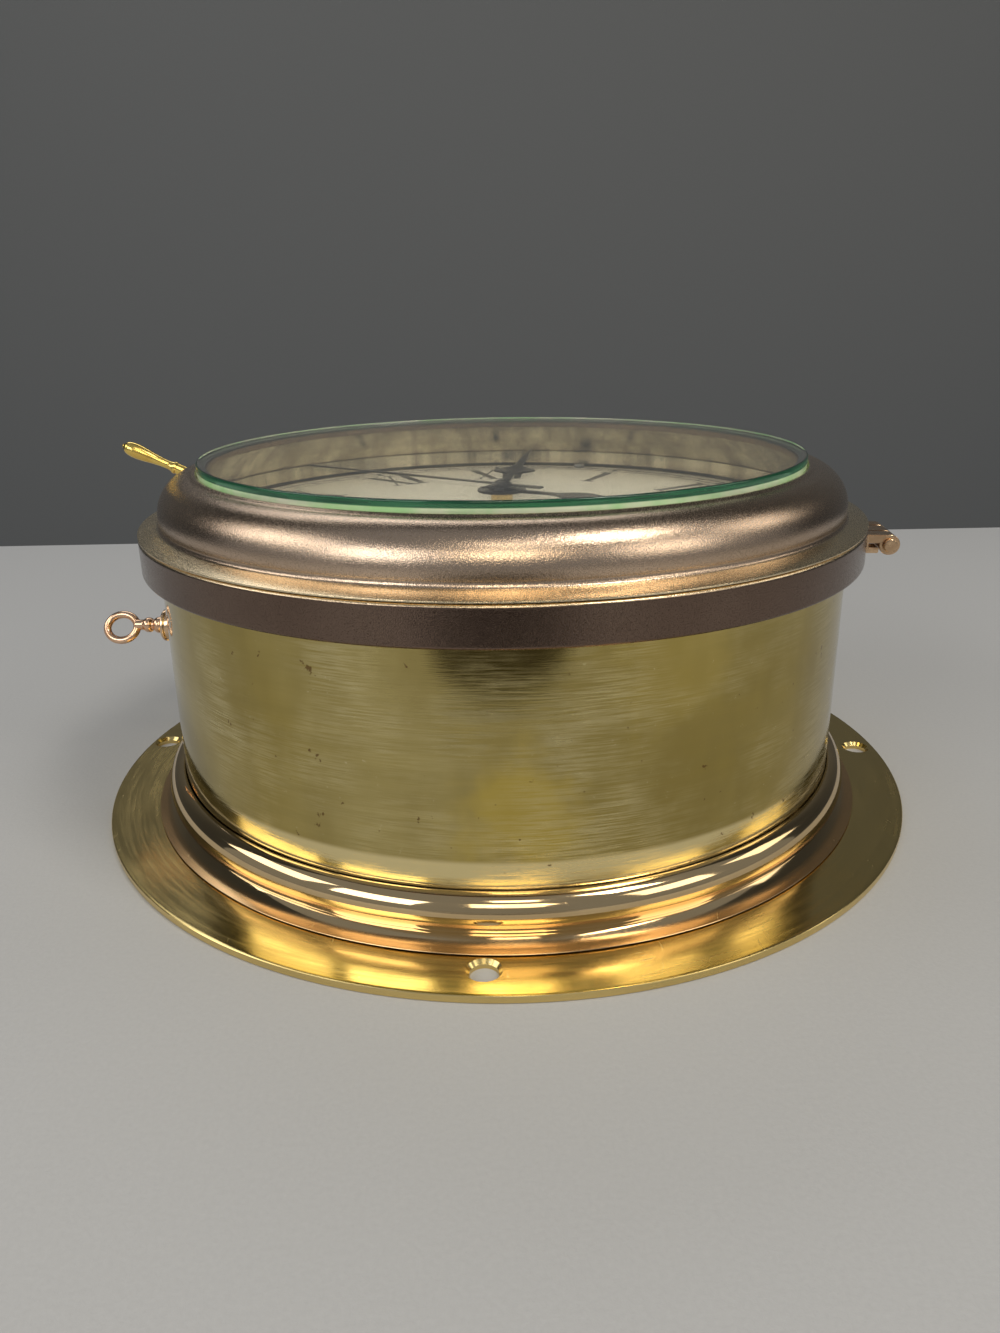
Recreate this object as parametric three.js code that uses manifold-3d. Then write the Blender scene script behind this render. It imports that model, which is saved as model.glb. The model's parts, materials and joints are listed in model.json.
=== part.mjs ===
// Ship's bulkhead clock: brass drum case on a screw flange, hinged bronze bezel with a
// thick plate glass, side lock with its key, and a hand-wound lever movement inside.
// Millimetres, +Z up. The clock lies on its back: the origin is the centre of the
// case's back face, the glass looks up, and twelve o'clock is at +Y.
import * as THREE from 'three';
import { mergeVertices } from 'three/addons/utils/BufferGeometryUtils.js';
import Module from 'manifold-3d';

const wasm = await Module();
wasm.setup();

// Clearances
const gap = 0.3;
const hingeSlack = 0.4;
const bearingSlack = 0.35;

// Drum, flange and moulding
const drumRadius = 100;
const drumWall = 2.5;
const drumTop = 84;
const drumInside = drumRadius - drumWall;
const aboveCase = drumTop + 15;
const flangeReach = 22.6;
const flangeRadius = drumRadius + flangeReach;
const flangeThickness = 2.1;
const flangeInset = 4.2;
const flangeInside = drumRadius - flangeInset;
const caseFloor = flangeThickness + gap;
const backPlateThickness = 1.8;
const mountHoleRadius = 3.35;
const countersinkRadius = 4.25;
const countersinkDepth = 1;
const mountHoles = [
  { azimuth: -93.9, inset: 9.1 },
  { azimuth: 0.5, inset: 6.0 },
  { azimuth: 86, inset: 7.1 },
  { azimuth: 171.2, inset: 5.0 },
];
const mouldingWidth = 4.4;
const mouldingHalfHeight = 5.4;
const mouldingRise = 6.5;
const mouldingMiddle = caseFloor + mouldingRise;
const mouldingFoot = 8.4;

// Fixed band and bezel
const bandReach = 4.73;
const bandRadius = drumRadius + bandReach;
const bandRise = 0.35;
const bandTop = drumTop + bandRise;
const bandHeight = 9.95;
const bandBottom = bandTop - bandHeight;
const bandChamfer = 0.5;
const bezelBottom = bandTop + gap;
const bezelInset = 3;
const bezelInside = drumRadius - bezelInset;
const ledgeEdge = 0.45;
const ledgeRise = 1.75;
const ledgeInset = 1;
const ledgeInside = drumRadius - ledgeInset;
const bellyInset = 11.1;
const bellyRise = 4.55;
const bellyCentre = [drumRadius - bellyInset, bezelBottom + bellyRise];
const bellyWidth = 10.05;
const bellyHeight = 10.2;
const lipInset = 12.25;
const lipRadius = drumRadius - lipInset;
const lipRise = 0.6;
const lipTop = bellyCentre[1] + bellyHeight + lipRise;
const glassSlack = 0.35;
const glassRadius = lipRadius - glassSlack;
const glassSeatRise = 11.95;
const glassSeat = bezelBottom + glassSeatRise;
const glassSeatWidth = 3.15;
const glassSeatFloor = 1.4;
const glassLift = 1.3;
const glassBottom = glassSeat + glassLift;
const glassThickness = 4.74;
const glassTop = glassBottom + glassThickness;
const glassEdge = 0.4;
const sealThickness = 0.7;
const sealInset = 0.2;
const reflectorThickness = 0.6;
const reflectorTopInset = 2.35;
const reflectorTopRadius = lipRadius - reflectorTopInset;
const reflectorBottomInset = 6;
const reflectorBottomRadius = drumRadius - reflectorBottomInset;
const reflectorRise = 0.55;
const reflectorBottom = bezelBottom + reflectorRise;

// Dial and its seat
const dialInset = 5.8;
const dialRadius = drumRadius - dialInset;
const dialDrop = 5.9;
const dialBottom = drumTop - dialDrop;
const dialThickness = 1.2;
const dialTop = dialBottom + dialThickness;
const dialRingWidth = 1.2;
const dialRingRise = 4.9;
const dialRingTop = dialTop + dialRingRise;
const seatRingWidth = 11.5;
const seatRingInside = drumInside - seatRingWidth;
const seatRingThickness = 2;
const seatNotchHalf = 9;
const dialScrewInset = 3.7;
const dialScrewPlace = dialRadius - dialScrewInset;
const dialScrewHead = 2;
const dialScrewHeadHeight = 1.2;
const dialScrewShank = 1;
const dialScrewAzimuths = [69.6, 189.6, 309.6];

// Hinge
const hingeAzimuth = -7;
const hingeReach = 7.2;
const hingeRadius = bandRadius + hingeReach;
const hingeDrop = 8.05;
const hingeHeight = bandTop - hingeDrop;
const hingeHalfLength = 10;
const strapHalf = 3.85;
const knuckleRadius = 2.9;
const hingePinRadius = 1.3;
const hingePinHead = 1.9;
const hingePinHeadHeight = 1;
const hingeLeafThickness = 2.4;
const hingeLugDrop = 0.8;
const hingeLugThickness = 1.6;
const hingeLugReach = 4;
const hingeBackThickness = 1.1;
const strapInset = 1;
const strapInside = drumRadius + strapInset;
const strapStep = 0.43;
const strapOutside = bandRadius - strapStep;

// Bezel handle
const handleAzimuth = 177.5;
const handleTilt = 24.6;
const handleFootInset = 3.4;
const handleFootRise = 7.8;
const handleFoot = [drumRadius - handleFootInset, bellyCentre[1] + handleFootRise];
const handleBeadRadius = 1.6;
const handleNeckRadius = 1.25;
const handleSwell = 2.2;
const handleLength = 18.3;

// Lock and key
const lockAzimuth = 175;
const lockDrop = 37.2;
const lockHeight = drumTop - lockDrop;
const nozzleRadius = 4.8;
const nozzleRim = 5.1;
const nozzleReach = 9.5;
const nozzleEnd = drumRadius + nozzleReach;
const lockBarrelRadius = 3.5;
const lockBarrelInset = 3.4;
const lockBarrelFace = drumRadius - lockBarrelInset;
const keyBore = 2;
const keyBoreReach = 2;
const keyBoreEnd = drumRadius + keyBoreReach;
const lockPinRadius = 0.8;
const lockPinThrow = 2.4;
const keyTurn = 90;
const keyShank = 1.7;
const keyBead = 2.6;
const keyBowSpace = 8;
const keyBowStart = nozzleEnd + keyBowSpace;
const keyBowLength = 12.2;
const keyBowEnd = keyBowStart + keyBowLength;
const keyBowHeight = 11;
const keyBowWire = 2.4;
const keyBowDrop = 0.9;
const keeperFrom = -8;
const keeperTo = -5;
const keeperRise = 1.35;
const keeperBottom = bezelBottom + keeperRise;
const keeperThickness = 1.2;
const keeperTop = keeperBottom + keeperThickness;
const leverInset = 4.95;
const leverFace = drumRadius - leverInset;
const leverThickness = 1;
const leverPivotRise = 13;
const leverPivotRadius = 1.2;
const leverPivotHead = 2.25;
const leverPivotHeadHeight = 1;
const leverArmHalf = 1.5;
const leverNose = 3.2;
const leverNosePlay = 1.1;
const leverNoseBottom = keeperTop - lockHeight - leverPivotRise + leverNosePlay;
const leverNoseHeight = 1.8;

// Movement plates
const plateRadius = 70;
const plateThickness = 2.2;
const movementDrop = 12.1;
const plateSpacing = 40;
const frontPlateBottom = dialBottom - movementDrop;
const backPlateBottom = frontPlateBottom - plateSpacing;
const frontTop = frontPlateBottom + plateThickness;
const backTop = backPlateBottom + plateThickness;
const pillarInset = 6;
const pillarPlace = plateRadius - pillarInset;
const pillarRadius = 3;
const pillarNut = 1.2;
const postRadius = 4;
const postSocket = 6;
const tenonRadius = 1.6;
const tenonLength = 5;

// Train: teeth, modules, directions of the centres
const greatTeeth = 60;
const centrePinion = 10;
const greatModule = 1;
const centreTeeth = 60;
const thirdPinion = 8;
const centreModule = 0.6;
const thirdTeeth = 64;
const secondsPinion = 8;
const fourthTeeth = 64;
const escapePinion = 8;
const fourthModule = 0.4;
const cannonTeeth = 10;
const minuteTeeth = 30;
const minutePinion = 8;
const hourTeeth = 32;
const motionModule = 1;
const barrelDirection = -90;
const thirdDirection = 60;
const escapeDirection = 150;
const minuteDirection = 90;
const arborRadius = 0.8;
const secondsBore = arborRadius + bearingSlack;
const centreTubeWall = 1.25;
const centreTube = secondsBore + centreTubeWall;
const cannonWall = 0.85;
const cannonTube = secondsBore + cannonWall;
const hourBore = cannonTube + gap;
const hourPipeWall = 1;
const hourPipe = hourBore + hourPipeWall;

// Barrel and winding work
const barrelRadius = 27.5;
const barrelWall = 1.5;
const barrelRise = 11.8;
const barrelBottom = backTop + barrelRise;
const barrelHeight = 16;
const barrelTop = barrelBottom + barrelHeight;
const greatHeight = 3;
const greatTop = barrelTop + greatHeight;
const windingRadius = 3;
const windingSquare = 2.1;
const windingRise = 1.3;
const windingTop = dialTop + windingRise;
const windingShoulder = 1.7;
const ferruleRadius = 4.2;
const ferruleWall = 0.8;
const ratchetTeeth = 24;
const ratchetRadius = 9;
const ratchetBottom = frontTop + gap;
const ratchetThickness = 1.8;
const ratchetTop = ratchetBottom + ratchetThickness;
const springThickness = 0.8;
const springTurns = 3;

// Heights of the wheels between the plates
const wheelThickness = 1.8;
const lightWheelThickness = 1.6;
const pinionOverlap = 0.4;
const centrePinionOverlap = 0.5;
const centreWheelRise = 3;
const centreWheelLow = greatTop + centreWheelRise;
const centreTubeRise = 0.8;
const centreTubeTop = frontTop + centreTubeRise;
const thirdWheelRise = 7.8;
const thirdWheelLow = backTop + thirdWheelRise;
const fourthWheelRise = 3.8;
const fourthWheelLow = backTop + fourthWheelRise;

// Escapement
const escapeTeeth = 15;
const escapeRadius = 6.5;
const escapeRise = 11.8;
const escapeBottom = backTop + escapeRise;
const escapeThickness = 1.2;
const escapeTop = escapeBottom + escapeThickness;
const leverDistance = 9.6;
const balanceDistance = 11;
const balanceRadius = 9;
const balanceRise = 2.8;
const balanceBottom = escapeTop + balanceRise;
const balanceThickness = 1.6;
const balanceTop = balanceBottom + balanceThickness;
const bridgeRise = 5.4;
const bridgeBottom = balanceTop + bridgeRise;
const bridgeThickness = 2;
const bridgeHalf = 5;
const bridgeFrom = 10;
const bridgeTo = 60;
const bridgeFootInset = 1;
const bridgeFootWidth = 6;

// Motion work under the dial
const cannonLow = centreTubeTop + gap;
const cannonHeight = 3.4;
const cannonPinionTop = cannonLow + cannonHeight;
const minuteWheelRise = 0.7;
const minuteWheelLow = cannonLow + minuteWheelRise;
const minuteWheelTop = minuteWheelLow + lightWheelThickness;
const minutePinionOverlap = 0.6;
const hourWheelRise = 0.9;
const hourWheelLow = cannonPinionTop + hourWheelRise;
const minutePinionRise = 0.8;
const minutePinionTop = hourWheelLow + wheelThickness + minutePinionRise;
const minutePostRise = 0.8;
const minutePostBore = 1.5;
const minutePostWall = 1.2;

// Hands
const hourHandRise = 6.4;
const hourHandThickness = 0.6;
const hourHandBottom = dialTop + hourHandRise;
const hourHandTop = hourHandBottom + hourHandThickness;
const minuteHandRise = 0.4;
const minuteHandThickness = 0.5;
const minuteHandBottom = hourHandTop + minuteHandRise;
const minuteHandTop = minuteHandBottom + minuteHandThickness;
const secondsHandRise = 0.3;
const secondsHandThickness = 0.5;
const secondsHandBottom = minuteHandTop + secondsHandRise;
const secondsHandTop = secondsHandBottom + secondsHandThickness;
const hourHandInset = 42.2;
const minuteHandInset = 12.2;
const secondsHandInset = 16.2;
const hourHandLength = dialRadius - hourHandInset;
const minuteHandLength = dialRadius - minuteHandInset;
const secondsHandLength = dialRadius - secondsHandInset;
const hourHandAngle = -31;
const minuteHandAngle = 81;
const secondsHandAngle = 145;
const hourHub = 7.3;
const minuteHub = 4.6;
const secondsHub = 3;
const arborEnd = 0.6;

const ringSegments = 48;
const smallSegments = 12;
const radians = THREE.MathUtils.degToRad;

// Solids

function toSolid(geometry) {
  const bare = geometry.clone();
  bare.deleteAttribute('normal');
  bare.deleteAttribute('uv');
  const merged = mergeVertices(bare, 1e-4);
  const position = merged.attributes.position.array;
  const index = merged.index.array;
  const faces = [];
  for (let i = 0; i < index.length; i += 3) {
    const [a, b, c] = [index[i], index[i + 1], index[i + 2]];
    if (a !== b && b !== c && c !== a) faces.push([a, b, c]);
  }
  const corner = (k) => new THREE.Vector3().fromArray(position, k * 3);
  let volume = 0;
  for (const [a, b, c] of faces) volume += corner(a).dot(corner(b).cross(corner(c)));
  const outward = volume < 0 ? faces.map(([a, b, c]) => [a, c, b]) : faces;
  const mesh = new wasm.Mesh({
    numProp: 3,
    vertProperties: new Float32Array(position),
    triVerts: new Uint32Array(outward.flat()),
  });
  return new wasm.Manifold(mesh);
}

function toGeometry(solid) {
  const mesh = solid.getMesh();
  const geometry = new THREE.BufferGeometry();
  geometry.setAttribute('position', new THREE.BufferAttribute(mesh.vertProperties, 3));
  geometry.setIndex(new THREE.BufferAttribute(mesh.triVerts, 1));
  geometry.computeVertexNormals();
  return geometry;
}

const join = (...solids) => solids.reduce((whole, piece) => whole.add(piece));
const cut = (whole, ...tools) => tools.reduce((rest, tool) => rest.subtract(tool), whole);
const moved = (solid, x, y, z) => solid.translate([x, y, z]);

// A closed [radius, height] outline turned about Z.
function turned(outline, segments = ringSegments) {
  const points = outline.map(([r, z]) => new THREE.Vector2(r, z));
  if (points[0].x > 0) points.push(points[0].clone());
  const geometry = new THREE.LatheGeometry(points, segments);
  geometry.rotateX(Math.PI / 2);
  return toSolid(geometry);
}

function ring(inner, outer, low, high, segments = ringSegments) {
  return turned([[inner, low], [outer, low], [outer, high], [inner, high]], segments);
}

function rod(radius, low, high, segments = smallSegments) {
  return turned([[0, low], [radius, low], [radius, high], [0, high]], segments);
}

// A turned piece laid along +X, or along +Y.
const alongX = (solid) => solid.rotate([0, 90, 0]);
const alongY = (solid) => solid.rotate([-90, 0, 0]);

function box(low, high) {
  const size = high.map((value, i) => value - low[i]);
  const geometry = new THREE.BoxGeometry(...size);
  geometry.translate(...low.map((value, i) => value + size[i] / 2));
  return toSolid(geometry);
}

// A flat outline of [x, y] points, with any round holes, raised from low to high.
function plate(outline, low, high, holes = []) {
  const shape = new THREE.Shape(outline.map(([x, y]) => new THREE.Vector2(x, y)));
  for (const { x = 0, y = 0, radius, segments = 12 } of holes) {
    const points = Array.from({ length: segments }, (_, i) => {
      const turn = -2 * Math.PI * i / segments;
      return new THREE.Vector2(x + radius * Math.cos(turn), y + radius * Math.sin(turn));
    });
    shape.holes.push(new THREE.Path(points));
  }
  const geometry = new THREE.ExtrudeGeometry(shape, { depth: high - low, bevelEnabled: false });
  geometry.translate(0, 0, low);
  return toSolid(geometry);
}

const polar = (radius, azimuth) => [
  radius * Math.cos(radians(azimuth)),
  radius * Math.sin(radians(azimuth)),
];

function circle(radius, segments) {
  return Array.from({ length: segments }, (_, i) => polar(radius, 360 * i / segments));
}

function arc([cx, cy], width, height, from, to, steps) {
  return Array.from({ length: steps + 1 }, (_, i) => {
    const turn = radians(from + (to - from) * i / steps);
    return [cx + width * Math.cos(turn), cy + height * Math.sin(turn)];
  });
}

function spiral(inside, outside, turns, thickness, low, high) {
  const steps = turns * 12;
  const edge = (shift) => Array.from({ length: steps + 1 }, (_, i) => (
    polar(inside + (outside - inside) * i / steps + shift, 360 * i / 12)
  ));
  return plate([...edge(thickness), ...edge(0).reverse()], low, high);
}

// A wheel with pointed clock teeth. One tooth lies on the given direction in degrees.
const pitchRadius = (teeth, module) => teeth * module / 2;
function wheel(teeth, module, low, high, { bore = 0, direction = 0, windows = 0 } = {}) {
  const tip = pitchRadius(teeth, module) + 0.9 * module;
  const root = pitchRadius(teeth, module) - 1.2 * module;
  const step = 360 / teeth;
  const outline = [];
  for (let i = 0; i < teeth; i += 1) {
    const middle = direction + i * step;
    outline.push(polar(root, middle - 0.32 * step));
    outline.push(polar(tip, middle));
    outline.push(polar(root, middle + 0.32 * step));
  }
  const holes = bore > 0 ? [{ radius: bore }] : [];
  for (let i = 0; i < windows; i += 1) {
    const [x, y] = polar(0.6 * root, 360 * i / windows);
    holes.push({ x, y, radius: 0.22 * root, segments: 8 });
  }
  return plate(outline, low, high, holes);
}

// The direction that puts a space of the driven wheel on the driver's tooth.
const meshed = (direction, teeth) => direction + 180 + 180 / teeth;

// Materials

const finish = {
  brass: { color: 0xb08a3c, roughness: 0.3, metalness: 1 },
  polished: { color: 0xd8b470, roughness: 0.12, metalness: 1 },
  bronze: { color: 0x8a6a52, roughness: 0.28, metalness: 1 },
  bright: { color: 0xe2b04a, roughness: 0.15, metalness: 1 },
  copper: { color: 0xd59a6a, roughness: 0.2, metalness: 1 },
  steel: { color: 0x8d9196, roughness: 0.3, metalness: 1 },
  silver: { color: 0xb8b4a4, roughness: 0.2, metalness: 1 },
  dial: { color: 0xe6dfc8, roughness: 0.6, metalness: 0 },
  black: { color: 0x16151a, roughness: 0.4, metalness: 0.2 },
  glass: { color: 0xd9efe2, roughness: 0.02, metalness: 0, transparent: true, opacity: 0.25 },
  seal: { color: 0x2a2a26, roughness: 0.8, metalness: 0 },
};

const clock = new THREE.Group();

function add(name, solid, look, parent = clock) {
  const mesh = new THREE.Mesh(toGeometry(solid), new THREE.MeshStandardMaterial(finish[look]));
  mesh.name = name;
  parent.add(mesh);
}

// Frames of the pieces: x outward from the centre at an azimuth, or round a wheel's axis.
function sideGroup(azimuth) {
  const group = new THREE.Group();
  group.rotation.z = radians(azimuth);
  clock.add(group);
  return group;
}

function axisGroup([x, y], azimuth = 0) {
  const group = new THREE.Group();
  group.position.set(x, y, 0);
  group.rotation.z = radians(azimuth);
  clock.add(group);
  return group;
}

// Case

function flangeHole({ azimuth, inset }) {
  const [x, y] = polar(flangeRadius - inset, azimuth);
  const sinkFrom = flangeThickness - countersinkDepth;
  const flare = (countersinkRadius - mountHoleRadius) / countersinkDepth;
  return moved(turned([
    [0, -1],
    [mountHoleRadius, -1],
    [mountHoleRadius, sinkFrom],
    [countersinkRadius + flare, flangeThickness + 1],
    [0, flangeThickness + 1],
  ], 24), x, y, 0);
}

add('mounting_flange', cut(
  ring(flangeInside, flangeRadius, 0, flangeThickness),
  ...mountHoles.map(flangeHole),
), 'brass');
add('back_plate', rod(flangeInside - gap, 0, backPlateThickness, ringSegments), 'brass');

const mouldingInside = drumRadius + gap;
add('base_moulding', turned([
  [mouldingInside, caseFloor],
  [mouldingInside + mouldingFoot, caseFloor],
  [mouldingInside + mouldingFoot, caseFloor + 0.2],
  [mouldingInside + mouldingFoot - 1.7, caseFloor + 0.5],
  [mouldingInside + mouldingFoot - 3.7, caseFloor + 1],
  ...arc([mouldingInside + 0.3, mouldingMiddle], mouldingWidth, mouldingHalfHeight, -47, 90, 6),
  [mouldingInside, mouldingMiddle + mouldingHalfHeight],
]), 'polished');

const lockHole = moved(alongX(rod(lockBarrelRadius + gap, 0, 20, 24)), drumInside - 10, 0, lockHeight);
add('case_drum', cut(
  ring(drumInside, drumRadius, caseFloor, drumTop),
  lockHole.rotate([0, 0, lockAzimuth]),
), 'brass');

// Fixed band, with a notch where the bezel's strap passes

const strapTop = hingeHeight + knuckleRadius;
const strapBottom = strapTop - hingeLeafThickness;
const bandNotch = box(
  [drumRadius, -strapHalf - gap, strapBottom - hingeSlack],
  [bandRadius + 1, strapHalf + gap, bandTop + 1],
);
add('band_ring', cut(turned([
  [drumRadius + gap, bandBottom],
  [bandRadius - bandChamfer, bandBottom],
  [bandRadius, bandBottom + bandChamfer],
  [bandRadius, bandTop - bandChamfer],
  [bandRadius - bandChamfer, bandTop],
  [drumRadius + gap, bandTop],
]), bandNotch.rotate([0, 0, hingeAzimuth])), 'bronze');

// Hinge

const hingeSide = sideGroup(hingeAzimuth);
const onHinge = (solid) => moved(alongY(solid), hingeRadius, 0, hingeHeight);
const hingeBore = onHinge(rod(hingePinRadius + gap, -20, 20));

function caseLeaf(low, high) {
  const back = bandRadius + gap;
  const lugTop = hingeHeight - hingeLugDrop;
  const lugBottom = lugTop - hingeLugThickness;
  return cut(join(
    onHinge(rod(knuckleRadius, low, high)),
    box([back, low, strapBottom], [hingeRadius, high, strapTop]),
    box([back, low, lugBottom], [back + hingeBackThickness, high, strapTop]),
    box([back, low, lugBottom], [back + hingeLugReach, high, lugTop]),
  ), hingeBore);
}
add('hinge_case_leaf_1', caseLeaf(-hingeHalfLength, -strapHalf - gap), 'bronze', hingeSide);
add('hinge_case_leaf_2', caseLeaf(strapHalf + gap, hingeHalfLength), 'bronze', hingeSide);
add('hinge_bezel_strap', cut(join(
  onHinge(rod(knuckleRadius, -strapHalf, strapHalf)),
  box([strapInside, -strapHalf, strapBottom], [hingeRadius, strapHalf, strapTop]),
  box([strapInside, -strapHalf, strapBottom], [strapOutside, strapHalf, bandTop]),
), hingeBore), 'bronze', hingeSide);

const pinHalf = hingeHalfLength + gap;
add('hinge_pin', onHinge(turned([
  [0, -pinHalf - hingePinHeadHeight],
  [hingePinHead - 0.4, -pinHalf - hingePinHeadHeight],
  [hingePinHead, 0.4 - pinHalf - hingePinHeadHeight],
  [hingePinHead, -pinHalf],
  [hingePinRadius, -pinHalf],
  [hingePinRadius, pinHalf],
  [hingePinHead, pinHalf],
  [hingePinHead, pinHalf + hingePinHeadHeight - 0.4],
  [hingePinHead - 0.4, pinHalf + hingePinHeadHeight],
  [0, pinHalf + hingePinHeadHeight],
], 12)), 'steel', hingeSide);

// Bezel: ledge, rounded body, lip and the rebate that holds the glass

const seatInside = lipRadius - glassSeatWidth;
const seatUnder = glassSeat - glassSeatFloor;
const bellyOutside = (grow) => arc(bellyCentre, bellyWidth + grow, bellyHeight + grow, -10, 84, 8);
add('bezel_shell', turned([
  [bezelInside, bezelBottom],
  [bandRadius, bezelBottom],
  [bandRadius, bezelBottom + ledgeEdge],
  [ledgeInside, bezelBottom + ledgeRise],
  ...bellyOutside(0),
  [lipRadius + 1.55, lipTop - 0.4],
  [lipRadius + 0.85, lipTop],
  [lipRadius + 0.15, lipTop - 0.1],
  [lipRadius, lipTop - 0.7],
  [lipRadius, glassSeat],
  [seatInside, glassSeat],
  [seatInside, seatUnder],
  [bezelInside - 6.5, seatUnder - 0.2],
  [bezelInside - 3, seatUnder - 1.6],
  [bezelInside - 0.4, seatUnder - 4.2],
  [bezelInside, seatUnder - 6.7],
]), 'bronze');

add('glass', turned([
  [0, glassBottom],
  [glassRadius - glassEdge, glassBottom],
  [glassRadius, glassBottom + glassEdge],
  [glassRadius, glassTop - glassEdge],
  [glassRadius - glassEdge, glassTop],
  [0, glassTop],
]), 'glass');
add('glass_seal', ring(
  seatInside + gap, glassRadius - sealInset, glassSeat + gap, glassSeat + gap + sealThickness,
), 'seal');
add('reflector_ring', turned([
  [reflectorBottomRadius, reflectorBottom],
  [reflectorBottomRadius + reflectorThickness, reflectorBottom],
  [reflectorTopRadius + reflectorThickness, seatUnder - gap],
  [reflectorTopRadius, seatUnder - gap],
]), 'silver');

// Handle: a small turned pin in the bezel's shoulder, trimmed to the shoulder's curve
function handle() {
  const thin = handleNeckRadius;
  const pin = turned([
    [0, -3],
    [handleBeadRadius, -3],
    [handleBeadRadius, 2.4],
    [thin + 0.1, 3],
    [thin, 3.8],
    [thin + 0.15, handleLength * 0.38],
    [handleSwell * 0.86, handleLength * 0.58],
    [handleSwell, handleLength * 0.72],
    [handleSwell * 0.88, handleLength * 0.85],
    [handleSwell * 0.5, handleLength * 0.93],
    [0.7, handleLength * 0.94],
    [0.6, handleLength * 0.99],
    [0, handleLength],
  ], 20).rotate([0, 90 - handleTilt, 0]);
  const body = turned([[0, bezelBottom], ...bellyOutside(gap), [0, lipTop]]);
  return cut(moved(pin, handleFoot[0], 0, handleFoot[1]), body.rotate([0, 0, -handleAzimuth]));
}
add('bezel_handle', handle(), 'bright', sideGroup(handleAzimuth));

// Dial, the ring round it, its seat and screws

const seatRingTop = dialBottom - gap;
const seatRingBottom = seatRingTop - seatRingThickness;
const screwHoles = dialScrewAzimuths.map((azimuth) => {
  const [x, y] = polar(dialScrewPlace, azimuth);
  return { x, y, radius: dialScrewShank + gap };
});
const leverNotch = box(
  [leverFace - 1.5 * gap, -seatNotchHalf, 0],
  [drumRadius, seatNotchHalf, aboveCase],
);
add('dial_seat_ring', cut(
  ring(seatRingInside, drumInside - gap, seatRingBottom, seatRingTop),
  leverNotch.rotate([0, 0, lockAzimuth]),
  ...screwHoles.map(({ x, y, radius }) => moved(rod(radius, 0, aboveCase, 12), x, y, 0)),
), 'brass');

const barrelPlace = polar(
  pitchRadius(greatTeeth, greatModule) + pitchRadius(centrePinion, greatModule),
  barrelDirection,
);
add('dial_plate', plate(circle(dialRadius, ringSegments), dialBottom, dialTop, [
  { radius: hourPipe + 0.4, segments: 20 },
  { x: barrelPlace[0], y: barrelPlace[1], radius: ferruleRadius + gap, segments: 20 },
  ...screwHoles,
]), 'dial');
add('dial_ring', ring(dialRadius - dialRingWidth, dialRadius, dialTop + gap, dialRingTop), 'silver');

const headBottom = dialTop + gap;
const dialScrew = cut(
  turned([
    [0, seatRingBottom],
    [dialScrewShank, seatRingBottom],
    [dialScrewShank, headBottom],
    [dialScrewHead, headBottom],
    [dialScrewHead, headBottom + dialScrewHeadHeight - 0.3],
    [dialScrewHead - 0.3, headBottom + dialScrewHeadHeight],
    [0, headBottom + dialScrewHeadHeight],
  ], 12),
  box(
    [-dialScrewHead - 1, -0.3, headBottom + dialScrewHeadHeight - 0.5],
    [dialScrewHead + 1, 0.3, headBottom + dialScrewHeadHeight + 0.8],
  ),
);
screwHoles.forEach(({ x, y }, i) => {
  add(`dial_screw_${i + 1}`, moved(dialScrew, x, y, 0), 'steel');
});

const barrelGroup = axisGroup(barrelPlace);
add('winding_ferrule', turned([
  [ferruleRadius - ferruleWall, dialBottom + 0.1],
  [ferruleRadius, dialBottom + 0.1],
  [ferruleRadius, dialTop + gap],
  [ferruleRadius + 1, dialTop + gap],
  [ferruleRadius + 0.8, dialTop + gap + 0.4],
  [ferruleRadius - ferruleWall, dialTop + gap + 0.4],
], 24), 'polished', barrelGroup);

// Lock: the key turns a barrel whose pin swings a lever over the bezel's keeper

const lockSide = sideGroup(lockAzimuth);
const onLock = (solid, x) => moved(alongX(solid), x, 0, lockHeight);
const nozzleStart = drumRadius + gap;
const nozzleLength = nozzleEnd - nozzleStart;
const lockBore = lockBarrelRadius + gap;
add('lock_nozzle', onLock(turned([
  [lockBore, 0],
  [nozzleRadius, 0],
  [nozzleRadius, nozzleLength - 1.4],
  [nozzleRim, nozzleLength - 1],
  [nozzleRim, nozzleLength - 0.3],
  [nozzleRim - 0.3, nozzleLength],
  [lockBore, nozzleLength],
], 24), nozzleStart), 'brass', lockSide);

const pinAngle = radians(-90 - keyTurn / 2);
const pinFrom = leverFace - bearingSlack;
const lockPin = moved(
  alongX(rod(lockPinRadius, 0, lockBarrelFace - pinFrom + 0.5, 12)),
  pinFrom,
  lockPinThrow * Math.cos(pinAngle),
  lockHeight + lockPinThrow * Math.sin(pinAngle),
);
const barrelLength = nozzleEnd - gap - lockBarrelFace;
add('lock_barrel', join(
  onLock(turned([
    [0, 0],
    [lockBarrelRadius, 0],
    [lockBarrelRadius, barrelLength],
    [keyBore, barrelLength],
    [keyBore, keyBoreEnd - lockBarrelFace],
    [0, keyBoreEnd - lockBarrelFace],
  ], 24), lockBarrelFace),
  lockPin,
), 'brass', lockSide);

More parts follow.
